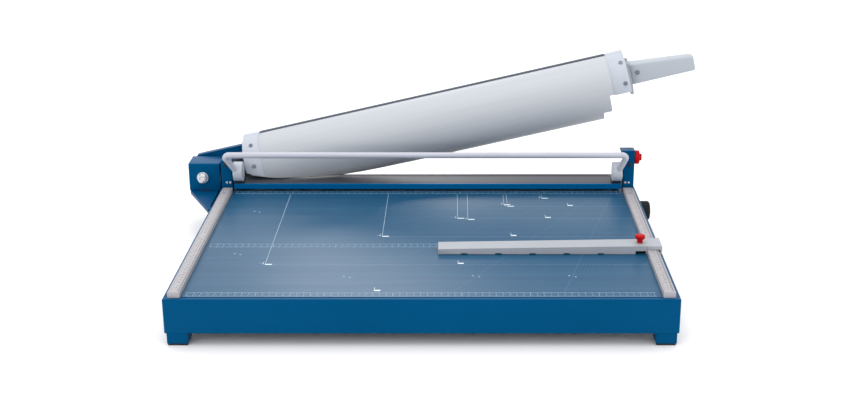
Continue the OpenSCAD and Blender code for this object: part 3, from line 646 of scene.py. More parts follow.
# %% Scale tree
def scale_tree():
    tree, given, end = new_tree(
        "scale_ticks", ("Count", "Int"), ("Start", "Vector"), ("Step", "Vector"), ("Short", "Float"),
        ("Middle", "Float"), ("Long", "Float"), ("Width", "Float"), ("Thickness", "Float"),
        ("Turn", "Float"),
    )
    new, link = tree.nodes.new, tree.links.new
    line = new("GeometryNodeMeshLine")
    line.mode = "OFFSET"
    feed(tree, given, line, Count="Count", Start_Location="Start", Offset="Step")
    index = new("GeometryNodeInputIndex").outputs[0]

    def compute(operation, value, number):
        sum_node = new("ShaderNodeMath")
        sum_node.operation = operation
        link(value, sum_node.inputs[0])
        sum_node.inputs[1].default_value = number
        return sum_node.outputs[0]

    def every(number):
        return compute("LESS_THAN", compute("MODULO", index, number), 0.5)

    def choose(test, no, yes):
        switch = new("GeometryNodeSwitch")
        switch.input_type = "FLOAT"
        link(test, switch.inputs["Switch"])
        link(no, switch.inputs["False"])
        link(yes, switch.inputs["True"])
        return switch.outputs["Output"]

    half = choose(every(5), given.outputs["Short"], given.outputs["Middle"])
    size = new("ShaderNodeCombineXYZ")
    feed(tree, given, size, X="Width", Z="Thickness")
    link(choose(every(10), half, given.outputs["Long"]), size.inputs["Y"])
    block, shift = new("GeometryNodeMeshCube"), new("GeometryNodeTransform")
    block.inputs["Size"].default_value = (1, 1, 1)
    shift.inputs["Translation"].default_value = (0, 0.5, 0)
    link(block.outputs["Mesh"], shift.inputs["Geometry"])
    turn, rotation = new("ShaderNodeCombineXYZ"), new("FunctionNodeEulerToRotation")
    link(given.outputs["Turn"], turn.inputs["Z"])
    link(turn.outputs[0], rotation.inputs[0])
    place = stand_on(tree, line.outputs["Mesh"], shift.outputs["Geometry"])
    link(rotation.outputs[0], place.inputs["Rotation"])
    link(size.outputs[0], place.inputs["Scale"])
    return end_tree(tree, given, end, place.outputs["Instances"])


scale_ticks = scale_tree()
print("scale tree:", len(scale_ticks.nodes), "nodes")

# %% [markdown]
# Screws stand on points, each along its own axis. The tree takes one screw as an object, and each
# point of the base mesh carries the direction in which its screw's head looks.

# %% Fastener tree
def fastener_tree():
    tree, given, end = new_tree("fasteners", ("Fastener", "Object"))
    new, link = tree.nodes.new, tree.links.new
    info = new("GeometryNodeObjectInfo")
    link(given.outputs["Fastener"], info.inputs["Object"])
    axis = new("GeometryNodeInputNamedAttribute")
    axis.data_type = "FLOAT_VECTOR"
    axis.inputs["Name"].default_value = "axis"
    align = new("FunctionNodeAlignRotationToVector")
    align.axis = "Z"
    link(axis.outputs["Attribute"], align.inputs["Vector"])
    place = stand_on(tree, given.outputs["Geometry"], info.outputs["Geometry"])
    link(align.outputs["Rotation"], place.inputs["Rotation"])
    return end_tree(tree, given, end, place.outputs["Instances"])


fasteners = fastener_tree()


def hexagon(angle):
    """How far out a hexagon reaches at an angle, as a share of its corner radius."""
    share = math.pi / 3
    return math.cos(share / 2) / math.cos((angle % share) - share / 2)


def socket_screw(head_r, head_h):
    """A low round head with a hexagon socket, its seat at the origin and its axis along z."""
    rim, depth, seat = min(0.3 * head_r, 0.35 * head_h), 0.55 * head_h, -0.2 * mm
    bm = bmesh.new()

    def ring(radius, height, reach=lambda angle: 1):
        turns = [math.tau * i / 36 for i in range(36)]
        return [bm.verts.new((radius * reach(a) * math.cos(a), radius * reach(a) * math.sin(a), height))
                for a in turns]

    rings = [ring(head_r, seat), ring(head_r, head_h - rim)]
    rings += [ring(head_r - rim * (1 - math.cos(a)), head_h - rim + rim * math.sin(a)) for a in (0.8, 1.57)]
    rings += [ring(0.52 * head_r, head_h, hexagon), ring(0.48 * head_r, head_h - depth, hexagon)]
    skin(bm, rings)
    return smooth(as_object(bm, "screw"), 40)


def screws(name, places, head_r, head_h, material, body, slot, *nodes):
    """Screws at (place, direction) pairs."""
    one = socket_screw(head_r, head_h)
    points, directions = zip(*places)
    made = run_tree(fasteners, name, points, directions, Fastener=one, Material=material)
    bpy.data.objects.remove(one)
    return finished(smooth(made, 40), material, body, slot, *nodes)


print("trees:", [tree.name for tree in bpy.data.node_groups])

# %% [markdown]
# ## The table
# The table is one steel sheet, folded down at the front and the sides. The bends are what make it
# look like sheet: a round of about the sheet's own thickness on every fold. A box without its back
# and bottom is given those rounds by a bevel, and then a wall by Solidify.

# %% Folded table
sheet_t = 2 * mm
beam_y = low("rear_beam").y


def folded_table():
    """A box without a back or a bottom, rounded at its folds and then given a wall."""
    bm = bmesh.new()
    corners = [[[bm.verts.new((x, y, z)) for z in (skirt_z, deck_z)] for y in (front_y, beam_y)]
               for x in (-half_w, half_w)]
    left, right = corners
    deck = (left[0][1], right[0][1], right[1][1], left[1][1])
    front = (left[0][0], right[0][0], right[0][1], left[0][1])
    skirts = [(side[0][0], side[1][0], side[1][1], side[0][1]) for side in corners]
    for face in (deck, front, *skirts):
        bm.faces.new(face)
    bmesh.ops.recalc_face_normals(bm, faces=bm.faces)
    if sum(f.normal.z for f in bm.faces) < 0:
        bmesh.ops.reverse_faces(bm, faces=bm.faces)
    obj = as_object(bm, "folded_table", recalculate=False)
    smooth(obj)
    fold = obj.modifiers.new("fold", "BEVEL")
    fold.width, fold.segments, fold.limit_method = 1.8 * mm, 4, "ANGLE"
    wall = obj.modifiers.new("wall", "SOLIDIFY")
    wall.thickness, wall.offset, wall.use_even_offset = sheet_t, -1, True
    plain(obj)
    return smooth(obj, 40)


table_shell = folded_table()
flange_half, flange_back = half_w - 36 * mm, front_y + 14 * mm
flange = eased(box(-flange_half, flange_half, front_y + sheet_t, flange_back, skirt_z, skirt_z + sheet_t),
               0.5 * mm)
finished(join("folded_table", [table_shell, flange]), blue_paint, "table", "blue_paint",
         "deck_plate", "front_skirt", "left_skirt", "right_skirt")

# %% [markdown]
# Below the sheet are square feet, a stiffening beam at the back, ribs and rubber pads. Each foot is
# a closed square tube with eased edges. The pads have a few grooves so that they grip.

# %% Feet, beam and ribs
leg_boxes, pad_boxes = [], []
leg_low, leg_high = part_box("legs")
leg_w, pad_inset, pad_ribs, pad_floor = 31 * mm, 1.2 * mm, 5, 1.6 * mm
rib_step = (leg_w - 2 * pad_inset) / pad_ribs
for side in (-1, 1):
    x0, x1 = sorted((side * leg_high.x, side * (leg_high.x - leg_w)))
    for y0 in (leg_low.y, leg_high.y - leg_w):
        leg_boxes.append(eased(box(x0, x1, y0, y0 + leg_w, leg_low.z, leg_high.z), 1.0 * mm, 3))
        pad_x0, pad_x1, pad_y = x0 + pad_inset, x1 - pad_inset, y0 + pad_inset
        for i in range(pad_ribs):
            rib_y0, rib_y1 = pad_y + i * rib_step, pad_y + (i + 0.86) * rib_step
            pad_boxes.append(eased(box(pad_x0, pad_x1, rib_y0, rib_y1, 0, 2.2 * mm), 0.3 * mm))
        pad_boxes.append(eased(box(pad_x0, pad_x1, pad_y, y0 + leg_w - pad_inset, pad_floor, leg_low.z),
                               0.3 * mm))
finished(join("square_feet", leg_boxes), blue_paint, "table", "blue_paint", "legs")
finished(join("rubber_pads", pad_boxes), black_rubber, "table", "black_rubber", "rubber_feet")
# The beam and the ribs take the darker copy of the blue paint, painted shade for their place under the
# sheet.
from_cad("rear_beam", "stiffening_beam", 0.3, shaded_under_blue, "table", "blue_paint")
from_cad("cross_ribs", "under_ribs", 0.4, shaded_under_blue, "table", "blue_paint")

# %% [markdown]
# The work surface lies on the sheet between the rails. It is a thin plate with a crisp edge.

# %% Work surface
panel_low, panel_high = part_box("table_panel")
panel = eased(box(panel_low.x, panel_high.x, panel_low.y, panel_high.y, panel_low.z, panel_high.z),
              0.25 * mm)
panel.name = "work_surface"
finished(panel, printed_panel, "table", "printed_table", "table_panel")

# %% [markdown]
# ## Printing on the table
# The print is a thin layer of ink, so it is real geometry a few hundredths of a millimetre high.
# Three toothed scales run from side to side: at the cutting line's end, in the middle and along the
# front. Each is a pair of lines with ticks that look at each other.

# %% Toothed scales
ink_h = 0.05 * mm
line_w = 0.36 * mm


def ink_bar(x0, x1, d0, d1):
    """A strip of ink between two x places and two distances from the cutting line."""
    return box(x0, x1, ahead(d1), ahead(d0), top_z - ink_h, top_z + ink_h)


def tick_row(name, count, start, step, lengths, width, turn, material):
    """A row of ticks from start: short ones, middle ones at each fifth and long ones at each tenth."""
    short, middle, long = (length * mm for length in lengths)
    return run_tree(scale_ticks, name, Count=count, Start=start, Step=step, Short=short, Middle=middle,
                    Long=long, Width=width * mm, Thickness=2 * ink_h, Turn=turn, Material=material)


scale_reach = 14 * mm
scale_half = inner_x - 8 * mm
scale_parts = []
front_scale = cut_y - panel_low.y - scale_reach - 2 * mm
for distance in (65 * mm, 330 * mm, front_scale):
    for edge, turn in ((distance, math.pi), (distance + scale_reach, 0.0)):
        scale_parts.append(ink_bar(-scale_half, scale_half, edge - line_w / 2, edge + line_w / 2))
        first = (-scale_half, ahead(edge), top_z)
        scale_parts.append(tick_row("ticks", int(2 * scale_half / mm) + 1, first, (mm, 0, 0),
                                    (1.6, 3.0, 4.4), 0.28, turn, pale_ink))
        scale_parts.append(tick_row("centimetres", int(scale_half / (5 * mm)) + 1, first, (10 * mm, 0, 0),
                                    (4.8, 4.8, 6.4), 0.9, turn, pale_ink))
finished(join("toothed_scales", scale_parts), pale_ink, "table", "printed_table")

# %% [markdown]
# Sheet formats are marked from the right rail and the cutting line. Each has a line across the
# table where its edge lies, a small solid corner block, and a dashed line to the rail. The sizes
# are those of common sheets, long side across and then short side across.

# %% Format marks
format_lines, format_blocks = [], []
field_start = rail_back + 16 * mm
lying = ((594, 420), (420, 297), (297, 210), (279.4, 215.9), (215.9, 139.7), (210, 148), (148, 105))
for width, depth in lying:
    x, d = inner_x - width * mm, depth * mm
    if d > field_start:
        format_lines.append(ink_bar(x - line_w / 2, x + line_w / 2, field_start, d))
    format_blocks.append(ink_bar(x, x + 11 * mm, d - 3.4 * mm, d))
    format_lines.append(ink_bar(x - 3.2 * mm, x - 2.7 * mm, d - 11 * mm, d - 2 * mm))
    format_lines.append(ink_bar(x - 4.6 * mm, x - 4.2 * mm, d - 9 * mm, d - 3 * mm))
standing = ((420, 527), (297, 420), (210, 297), (148, 210), (105, 148))
for width, depth in standing:
    x, d = inner_x - width * mm, depth * mm - 4 * mm
    format_blocks.append(ink_bar(x, x + 9 * mm, d - 4 * mm, d))
    format_lines.append(ink_bar(x - 0.3 * mm, x + 0.3 * mm, d - 14 * mm, d))
finished(join("format_lines", format_lines), white_ink, "table", "printed_table")
finished(join("format_blocks", format_blocks), white_ink, "table", "printed_table")

dashes = []
for width, depth in ((594, 420), (420, 297), (297, 210), (210, 148), (148, 105)):
    reach = width * mm - 8 * mm
    first = (inner_x - reach + 6 * mm, ahead(depth * mm), top_z)
    dashes.append(tick_row("dashes", int(reach / (5 * mm)), first, (5 * mm, 0, 0), (0.5, 0.5, 0.5), 2.4,
                           0.0, pale_ink))
finished(join("dashed_lines", dashes), pale_ink, "table", "printed_table")

# %% [markdown]
# Thin lines fan out from the corner of the right rail and the cutting line, at fifteen, thirty,
# forty-five and sixty degrees from the rail. Each stops at the edge of the printed field.

# %% Angle lines
angle_parts = []
fan = Vector((inner_x, cut_y, 0))
for degrees in (15, 30, 45, 60):
    slant = math.radians(degrees)
    toward = Vector((-math.sin(slant), -math.cos(slant), 0))
    side = Vector((toward.y, -toward.x, 0)) * 0.16 * mm
    near = field_start / math.cos(slant)
    far = min((front_scale - 2 * mm) / math.cos(slant), (2 * inner_x - 12 * mm) / math.sin(slant))
    start, end = fan + toward * near, fan + toward * far
    outline = [start - side, end - side, end + side, start + side]
    angle_parts.append(prism([(p.x, p.y) for p in outline], top_z - ink_h, top_z + 0.8 * ink_h))
finished(join("angle_lines", angle_parts), faint_ink, "table", "printed_table")

# %% [markdown]
# Numbers are text objects, made a mesh before they are placed. A little thickness closes them.

# %% Numbers
def numbers(name, entries, size, material, body, slot):
    """Numbers at (text, place, turn about z) entries, each lying flat with its middle on its place."""
    bm = bmesh.new()
    for text, place, turn in entries:
        curve = bpy.data.curves.new("number", "FONT")
        curve.body = text
        curve.size = size
        curve.align_x, curve.align_y = "CENTER", "CENTER"
        curve.extrude = ink_h
        curve.resolution_u = 2
        holder = bpy.data.objects.new("number", curve)
        bpy.context.scene.collection.objects.link(holder)
        result = holder.evaluated_get(bpy.context.evaluated_depsgraph_get())
        mesh = bpy.data.meshes.new_from_object(result)
        mesh.transform(Matrix.Translation(place) @ Matrix.Rotation(turn, 4, "Z"))
        bm.from_mesh(mesh)
        bpy.data.objects.remove(holder)
        bpy.data.meshes.remove(mesh)
    return finished(as_object(bm, name), material, body, slot)


table_numbers = []
for distance in (72 * mm, 337 * mm, front_scale + 7 * mm):
    for centimetre in range(1, 69):
        x = inner_x - centimetre * 10 * mm
        if abs(x) < scale_half - 4 * mm:
            table_numbers.append((str(centimetre), (x, ahead(distance), top_z), 0))
for width, depth in lying[:4]:
    beside = (inner_x - width * mm - 8 * mm, ahead(depth * mm - 6 * mm), top_z)
    table_numbers.append((str(round(width)), beside, math.pi / 2))
numbers("table_numbers", table_numbers, 2.6 * mm, pale_ink, "table", "printed_table")

# %% [markdown]
# Small flush screws hold the work surface down, in pairs along the table. They are the first use of
# the fastener tree: one screw, many points.

# %% Surface screws
pair_gap = 9.5 * mm
surface_screws = []
for x, distance in ((-291, 176), (-293, 375), (-114, 469), (80, 467), (225, 467)):
    for side in (-0.5, 0.5):
        screw_place = (x * mm + side * pair_gap, ahead((distance + 4 * side) * mm), top_z)
        surface_screws.append((screw_place, (0, 0, 1)))
screws("surface_screws", surface_screws, 1.5 * mm, 0.35 * mm, pale_ink, "table", "printed_table")

# %% [markdown]
# ## Scale rails
# A rail is a drawn alloy bar, a little lower along its outer edge. Its profile is drawn out along
# the table, its front end is eased, and the scale on it is ink: millimetres along one edge, and a
# coarser division along the other.

# %% Rails
rail_h = rail_high.z - top_z
seen_rail_w = rail_w - 2.2 * mm
eighth_inch = 3.175 * mm


def rail_profile(side):
    """Across the rail and up from the sheet, from the inner edge outwards."""
    step, lip, round_r = 2 * mm, 1 * mm, 0.6 * mm
    points = [(0, 0), *arc((round_r, rail_h - round_r), round_r, 180, 90, 4), (2.4 * mm, rail_h)]
    points += [(2.7 * mm, rail_h - 0.25 * mm), (3.0 * mm, rail_h)]
    points += [(seen_rail_w - step, rail_h), (seen_rail_w - step, rail_h - lip)]
    points += [(seen_rail_w, rail_h - lip), (seen_rail_w, 0)]
    return [(side * (inner_x + a), top_z + b) for a, b in points]


for side, word in ((-1, "left"), (1, "right")):
    rail = eased(prism(rail_profile(side), -rail_high.y, -rail_low.y, along_y(), f"{word}_rail"), 0.25 * mm)
    base_x = sorted((side * inner_x, side * (inner_x + seen_rail_w)))
    base = box(*base_x, rail_low.y, rail_high.y, deck_z, top_z)
    finished(join(f"{word}_rail", [rail, base]), rail_alloy, "table", "rail_alloy", f"{word}_scale_rail")
    x_left = base_x[0] + (0.9 if side > 0 else 2.6) * mm
    x_right = base_x[1] - (2.8 if side > 0 else 1.0) * mm
    first_y, rail_run, step = rail_high.y - 3 * mm, rail_front - rail_back, eighth_inch
    marks = [
        tick_row("ticks", int(rail_run / mm) - 6, (x_right, first_y, rail_high.z), (0, -mm, 0),
                 (1.6, 3.0, 4.6), 0.34, math.pi / 2, black_ink),
        tick_row("inches", int(rail_run / step) - 2, (x_left, first_y, rail_high.z), (0, -step, 0),
                 (1.2, 2.4, 3.6), 0.34, -math.pi / 2, black_ink),
    ]
    finished(join(f"{word}_rail_scale", marks), black_ink, "table", "rail_alloy")
    labels = [(str(n), (x_right - 6.2 * mm, ahead(n / 100), rail_high.z), math.pi / 2)
              for n in range(8, int(rail_front * 100))]
    numbers(f"{word}_rail_numbers", labels, 3.4 * mm, black_ink, "table", "rail_alloy")
    coarse = [(str(n), (x_left + 5.2 * mm, ahead(8 * n * eighth_inch), rail_high.z), math.pi / 2)
              for n in range(4, int(rail_front / (8 * eighth_inch)))]
    numbers(f"{word}_rail_coarse_numbers", coarse, 3.0 * mm, red_ink, "table", "rail_alloy")

rail_screw_z = rail_high.z - 2.2 * mm
rail_screw_places = []
for i in range(3):
    distance = rail_back + 30 * mm + i * (rail_front - rail_back - 60 * mm) / 2
    for side in (-1, 1):
        screw_place = (side * (inner_x + rail_w / 2), ahead(distance), rail_screw_z)
        rail_screw_places.append((screw_place, (0, 0, 1)))
screws("rail_fixing_screws", rail_screw_places, 3.6 * mm, 2.24 * mm, bright_steel, "table",
       "bright_steel", "rail_screws")

# %% [markdown]
# ## Towers
# Each tower is folded from sheet, with rounded front corners. The left one ends below the clamp
# tube. The right one is higher and carries the lock, and its hood is a cap plate that overhangs a
# little. Two bright screws at the foot of each hold it to the rail's end.

# %% Towers
cap_t = 3 * mm
for side, word in ((-1, "left"), (1, "right")):
    tower_low, tower_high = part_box(f"{word}_tower")
    outer_x = max(side * tower_low.x, side * tower_high.x)
    x0, x1 = sorted((side * inner_x, side * outer_x))
    front, back = tower_low.y + mm, tower_high.y - mm
    hooded = tower_high.x - tower_low.x > x1 - x0 + mm
    wall_top = tower_high.z - (0.6 * mm if hooded else 0)
    parts = [eased(box(x0, x1, front, back, deck_z, wall_top), 1.8 * mm, 4)]
    if hooded:
        parts.append(eased(box(tower_low.x, tower_high.x, tower_low.y, tower_high.y, tower_high.z - cap_t,
                               tower_high.z), 1.2 * mm, 4))
    parts.append(eased(box(x0 + 2 * mm, x1 - 2 * mm, front - 0.5 * mm, back, top_z + rail_h + 1 * mm,
                           top_z + rail_h + 3 * mm), 0.4 * mm))
    finished(join(f"{word}_tower_body", parts), blue_paint, "table", "blue_paint", f"{word}_tower")

tower_low, tower_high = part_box("right_tower")
tower_front_y, tower_back_y = tower_low.y + mm, tower_high.y - mm
face_screw_z, side_screw_z, base_screw_z = top_z + 50 * mm, top_z + 35 * mm, top_z + 16.5 * mm
tower_screw_places = [((side * (inner_x + 11 * mm), tower_front_y, face_screw_z), (0, -1, 0))
                      for side in (-1, 1)]
tower_screw_places.append(((tower_high.x, ahead(47 * mm), side_screw_z), (1, 0, 0)))
screws("tower_fixing_screws", tower_screw_places, 3.6 * mm, 1.8 * mm, dark_steel, "table", "dark_steel",
       "tower_screws")
base_screw_places = [((side * (inner_x + x * mm), tower_front_y, base_screw_z), (0, -1, 0))
                     for side in (-1, 1) for x in (4, 10)]
screws("tower_base_screws", base_screw_places, 2.2 * mm, 1.4 * mm, bright_steel, "table", "bright_steel")
cap_screw_places = [((inner_x + 10 * mm, tower_back_y - 8 * mm, tower_high.z - 1.2 * mm), (0, 0, 1))]
screws("tower_cap_screws", cap_screw_places, 3.0 * mm, 1.2 * mm, bright_steel, "table", "bright_steel")

# %% [markdown]
# The lock knob on the right tower is a red disc with a finger bar. Its rim has shallow flutes, made
# by a formula that lowers the radius a little between the ribs.

# %% Lock knob and pin
def flutes(count, depth):
    def rim(angle, radius, height):
        return 1 - depth * (0.5 + 0.5 * math.cos(count * angle))
    return rim


lock_low, lock_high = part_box("lock_knob")
lock_y, lock_z = (lock_low.y + lock_high.y) / 2, (lock_low.z + lock_high.z) / 2
lock_r, disc_t, grip_half_w, grip_half_h = (lock_high.z - lock_low.z) / 2, 8.5 * mm, 2.8 * mm, 6 * mm
lock_place = axes((lock_low.x, lock_y, lock_z), (0, 1, 0), (0, 0, 1))
disc_profile = [(0, 0), (lock_r - mm, 0), (lock_r, mm), (lock_r, 7.2 * mm), (lock_r - 0.5 * mm, 8.1 * mm),
                (lock_r - 1.6 * mm, disc_t), (0, disc_t)]
disc = turned(disc_profile, lock_place, 96, flutes(24, 0.035))
grip = eased(box(lock_low.x + 8 * mm, lock_high.x, lock_y - grip_half_w, lock_y + grip_half_w,
                 lock_z - grip_half_h, lock_z + grip_half_h), 1.2 * mm, 4)
finished(join("lock_knob_body", [smooth(disc, 50), grip]), red_plastic, "tower_lock", "red_plastic",
         "lock_knob")
from_cad("lock_pin", "lock_pin_shaft", 0.5, bright_steel, "tower_lock", "bright_steel")

# %% [markdown]
# ## Pivot housing
# The housing is folded plate: a front cheek with the pivot bolt, a roof, a rear cheek and a gusset
# that runs down to the table's side. In the lower fold, where the plate was relieved so that it
# would bend cleanly, a dark block on the cheek stands for the shade inside the relief slot: painted shade,
# not a cut.

# %% Housing
house_low, house_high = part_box("pivot_housing")
plate_t = 4 * mm
cheek_d, gusset_d, rear_d, gusset_out = 48 * mm, 150 * mm, 0.5 * mm, 6 * mm
cheek_y = ahead(cheek_d)
cheek_bottom = top_z - 4 * mm


def folded_outline(reach):
    """The cheek, the roof and the bends between them, in distance ahead and height."""
    r = 3.2 * mm
    top = house_high.z
    outer = [(cheek_d, cheek_bottom), *arc((cheek_d - r, top - r), r, 0, 90, 6), (reach, top)]
    inner = [(reach, top - plate_t), (cheek_d - plate_t, top - plate_t), (cheek_d - plate_t, cheek_bottom)]
    return outer + inner


side_on = Matrix(((0, 0, 1, 0), (-1, 0, 0, cut_y), (0, 1, 0, 0), (0, 0, 0, 1)))
house = prism(folded_outline(rear_d), house_low.x, house_high.x, side_on, "housing_cheek")
house = eased(house, 0.7 * mm, 3, 40)
rear = eased(box(house_low.x + 2 * mm, house_high.x, ahead(5 * mm), ahead(rear_d), cheek_bottom,
                 house_high.z - plate_t), 0.6 * mm)
hem_start, hem_end = (house_low.x + mm, cheek_y), (-half_w - gusset_out, ahead(gusset_d))
gusset_outline = [(house_low.x, ahead(rear_d)), (-half_w, ahead(rear_d)), (-half_w, ahead(gusset_d)),
                  hem_end, hem_start]
gusset = eased(prism(gusset_outline, cheek_bottom - plate_t, cheek_bottom, name="gusset"), 0.9 * mm, 3)
hem_start, hem_end = Vector(hem_start), Vector(hem_end)
hem_run = (hem_end - hem_start).normalized()
hem_in = Vector((-hem_run.y, hem_run.x)) * 2.4 * mm
hem_outline = [hem_start, hem_end, hem_end + hem_in, hem_start + hem_in]
hem = eased(prism(hem_outline, cheek_bottom - 7 * mm, cheek_bottom - 0.4 * mm, name="hem"), 0.8 * mm, 3)
flange = eased(box(-half_w - plate_t, -half_w, ahead(140 * mm), ahead(rear_d), house_low.z, cheek_bottom),
               0.6 * mm)
finished(join("housing_plates", [house, rear, gusset, hem, flange]), blue_paint, "table", "blue_paint",
         "pivot_housing")
slot_x, slot_half = (house_low.x + house_high.x) / 2, 8 * mm
# A thin dark block on the cheek's face stands for the shaded opening of the relief slot: painted shade.
slot_shade_block = eased(box(slot_x - slot_half, slot_x + slot_half, cheek_y - 0.3 * mm, cheek_y + 1 * mm,
                   cheek_bottom - 0.8 * mm, cheek_bottom + 2.3 * mm), 0.6 * mm)
slot_shade_block.name = "housing_relief_slot"
finished(slot_shade_block, dark_steel, "table", "dark_steel")
bolt_places = [((-half_w - plate_t, ahead(d * mm), top_z - 26 * mm), (-1, 0, 0)) for d in (62, 122)]
screws("housing_fixing_bolts", bolt_places, 5.5 * mm, 3.5 * mm, dark_steel, "table", "dark_steel",
       "housing_bolts")

# %% [markdown]
# The pivot bolt has a hexagon head on a broad round washer. Its corners are chamfered by a shallow
# cone, which leaves the small curved facets that a real bolt head shows.

# %% Pivot bolt
def out_of_cheek(y):
    """Axes with their third axis towards the operator."""
    return axes((pivot.x, y, pivot.z), (1, 0, 0), (0, 0, 1))


washer_r, head_r, shaft_r = 10.4 * mm, 9.2 * mm, 8 * mm
washer = turned([(0, 0), (washer_r, 0), (washer_r, 1.5 * mm), (washer_r - 0.6 * mm, 2 * mm), (0, 2 * mm)],
                out_of_cheek(cheek_y))
head = turned([(0, 0), (head_r, 0), (head_r, 6.2 * mm)], out_of_cheek(cheek_y - 2 * mm), 72,
              lambda angle, radius, height: hexagon(angle))
crown = turned([(head_r * 0.93, 6.2 * mm), (head_r * 0.84, 7.3 * mm), (head_r * 0.5, 7.7 * mm),
                (head_r * 0.42, 7.2 * mm), (0, 7.2 * mm)], out_of_cheek(cheek_y - 2 * mm), 72)
shaft_end = high("pivot_bolt").y - cheek_y
shaft = turned([(0, 0), (shaft_r, 0), (shaft_r, shaft_end - 1.5 * mm), (shaft_r - 1.5 * mm, shaft_end),
                (0, shaft_end)], axes((pivot.x, cheek_y, pivot.z), (0, 0, 1), (1, 0, 0)))
finished(join("pivot_bolt_head", [smooth(part, 25) for part in (washer, head, crown, shaft)]), bright_steel,
         "table", "bright_steel", "pivot_bolt")
from_cad("pivot_spacer", "pivot_spacer_sleeve", 0.3, bright_steel, "table", "bright_steel")
from_cad("spring_washers", "dished_washers", 0.3, bright_steel, "table", "bright_steel")
from_cad("pivot_nut", "pivot_lock_nut", 0.6, bright_steel, "table", "bright_steel")

# %% [markdown]
# ## Lower blade
# The lower blade is a bar of ground steel along the table's back edge, with countersunk screws from
# behind. It keeps its engineering shape, with the edges barely broken, as a sharp edge should be.

# %% Lower blade
from_cad("lower_blade", "lower_blade_bar", 0.12, blade_steel, "table", "blade_steel")
first = -inner_x + 25 * mm
blade_screws = [((first - i * first / 3, cut_y - 3 * mm, top_z - 9 * mm), (0, 1, 0)) for i in range(7)]
screws("lower_blade_fixings", blade_screws, 5 * mm, 2.8 * mm, dark_steel, "table", "dark_steel",
       "lower_blade_screws")

# %% [markdown]
# ## Arm and knife
# The arm is a flat steel beam, and the knife is bolted to its front. The knife's lower edge is
# ground to a bevel on the far side, so its section is a thin wedge at the bottom. The outline is
# drawn level and then raised about the pivot.

# %% Arm beam and knife
from_cad("arm_beam", "arm_beam_bar", 0.6, blue_paint, "knife_arm", "blue_paint")
from_cad("pivot_bush", "pivot_bush_ring", 0.3, bronze, "knife_arm", "bronze")

knife_low, knife_high = level_box("knife")
edge_t = 0.25 * mm


def ground_knife():
    u0, u1 = knife_low.x, knife_high.x
    top, bottom = knife_high.z, knife_low.z
    outline = [(u0, top), (u1, top), (u1, bottom + 8 * mm), (u1 - 6 * mm, bottom), (u0 + 18 * mm, bottom),
               (u0, bottom + 22 * mm)]
    back = [knife_low.y + edge_t if w == bottom else knife_high.y for u, w in outline]
    bm = bmesh.new()
    skin(bm, [[bm.verts.new(raised @ Vector((u, y, w))) for (u, w), y in zip(outline, ys)]
              for ys in ([knife_low.y] * len(outline), back)])
    bmesh.ops.recalc_face_normals(bm, faces=bm.faces)
    bmesh.ops.triangulate(bm, faces=[f for f in bm.faces if len(f.verts) > 4])
    return as_object(bm, "ground_knife")


finished(smooth(ground_knife(), 20), blade_steel, "knife_arm", "blade_steel", "knife")
bolt_row, bolt_r, bolt_h = level_box("knife_screws"), 5 * mm, 3 * mm
bolt_step = (bolt_row[1].x - bolt_row[0].x - 2 * bolt_r) / 7
knife_bolts = [(raised @ Vector((bolt_row[0].x + bolt_r + i * bolt_step, bolt_row[1].y - bolt_h, 3 * mm)),
                (0, 1, 0)) for i in range(8)]
screws("knife_fixing_bolts", knife_bolts, bolt_r, bolt_h, dark_steel, "knife_arm", "dark_steel",
       "knife_screws")

# %% [markdown]
# The guard turns on two carriers that sit on the arm. They are hidden under the end caps, so the
# part of each that would hang below its cap is cut off square.

# %% Carriers
def trimmed_carrier(node, name):
    bm = bmesh.new()
    bm.from_mesh(frame["nodes"][node].data)
    bmesh.ops.remove_doubles(bm, verts=bm.verts, dist=2e-6)
    bmesh.ops.bisect_plane(
        bm, geom=bm.verts[:] + bm.edges[:] + bm.faces[:], plane_co=raised @ Vector((0, 0, -26 * mm)),
        plane_no=raised.to_3x3() @ Vector((0, 0, -1)), clear_outer=True,
    )
    bmesh.ops.holes_fill(bm, edges=[e for e in bm.edges if e.is_boundary])
    return smooth(as_object(bm, name), 30)


for word in ("left", "right"):
    finished(trimmed_carrier(f"{word}_guard_carrier", f"{word}_carrier_disc"), dark_steel, "knife_arm",
             "dark_steel", f"{word}_guard_carrier")

# %% [markdown]
# ## Handle
# The handle is a long moulded grip with a flat top, soft corners and a rounded end. A loft makes
# it: a rounded rectangle whose size changes along the arm, closed at both ends by shrinking rings.

# %% Handle
grip_low, grip_high = level_box("handle")
grip_mid_y = (grip_low.y + grip_high.y) / 2


def rounded_ring(half_y, bottom, top, radius):
    """A rounded rectangle in y and height about the grip's middle."""
    ring = []
    for cy, cz, start in ((half_y - radius, top - radius, 0), (radius - half_y, top - radius, 90),
                          (radius - half_y, bottom + radius, 180), (half_y - radius, bottom + radius, 270)):
        ring += arc((cy, cz), radius, start, start + 90, 5)
    return ring


def lofted_grip():
    u0, u1 = grip_low.x, grip_high.x
    root, tip = (14 * mm, -18 * mm, 21 * mm), (12.6 * mm, -17.2 * mm, 10.2 * mm)
    root_r, end_r = 0.8 * mm, 4 * mm
    stations = [(u0, root_r), (u0 + root_r, 0)]
    stations += [(u0 + (u1 - u0 - end_r) * i / 10, 0) for i in range(1, 11)]
    stations += [(u1 - end_r + end_r * math.sin(a), end_r * (1 - math.cos(a)))
                 for a in (0.4, 0.8, 1.15, 1.5)]
    bm = bmesh.new()
    rings = []
    for u, less in stations:
        share = (u - u0) / (u1 - u0)
        half_y, bottom, top = (a + (b - a) * share for a, b in zip(root, tip))
        corner_r = max(4.2 * mm - 0.5 * less, 1.2 * mm)
        points = rounded_ring(half_y - less, bottom + less, top - less, corner_r)
        rings.append([bm.verts.new(raised @ Vector((u, grip_mid_y + y, z))) for y, z in points])
    skin(bm, rings)
    return smooth(as_object(bm, "grip"), 50)


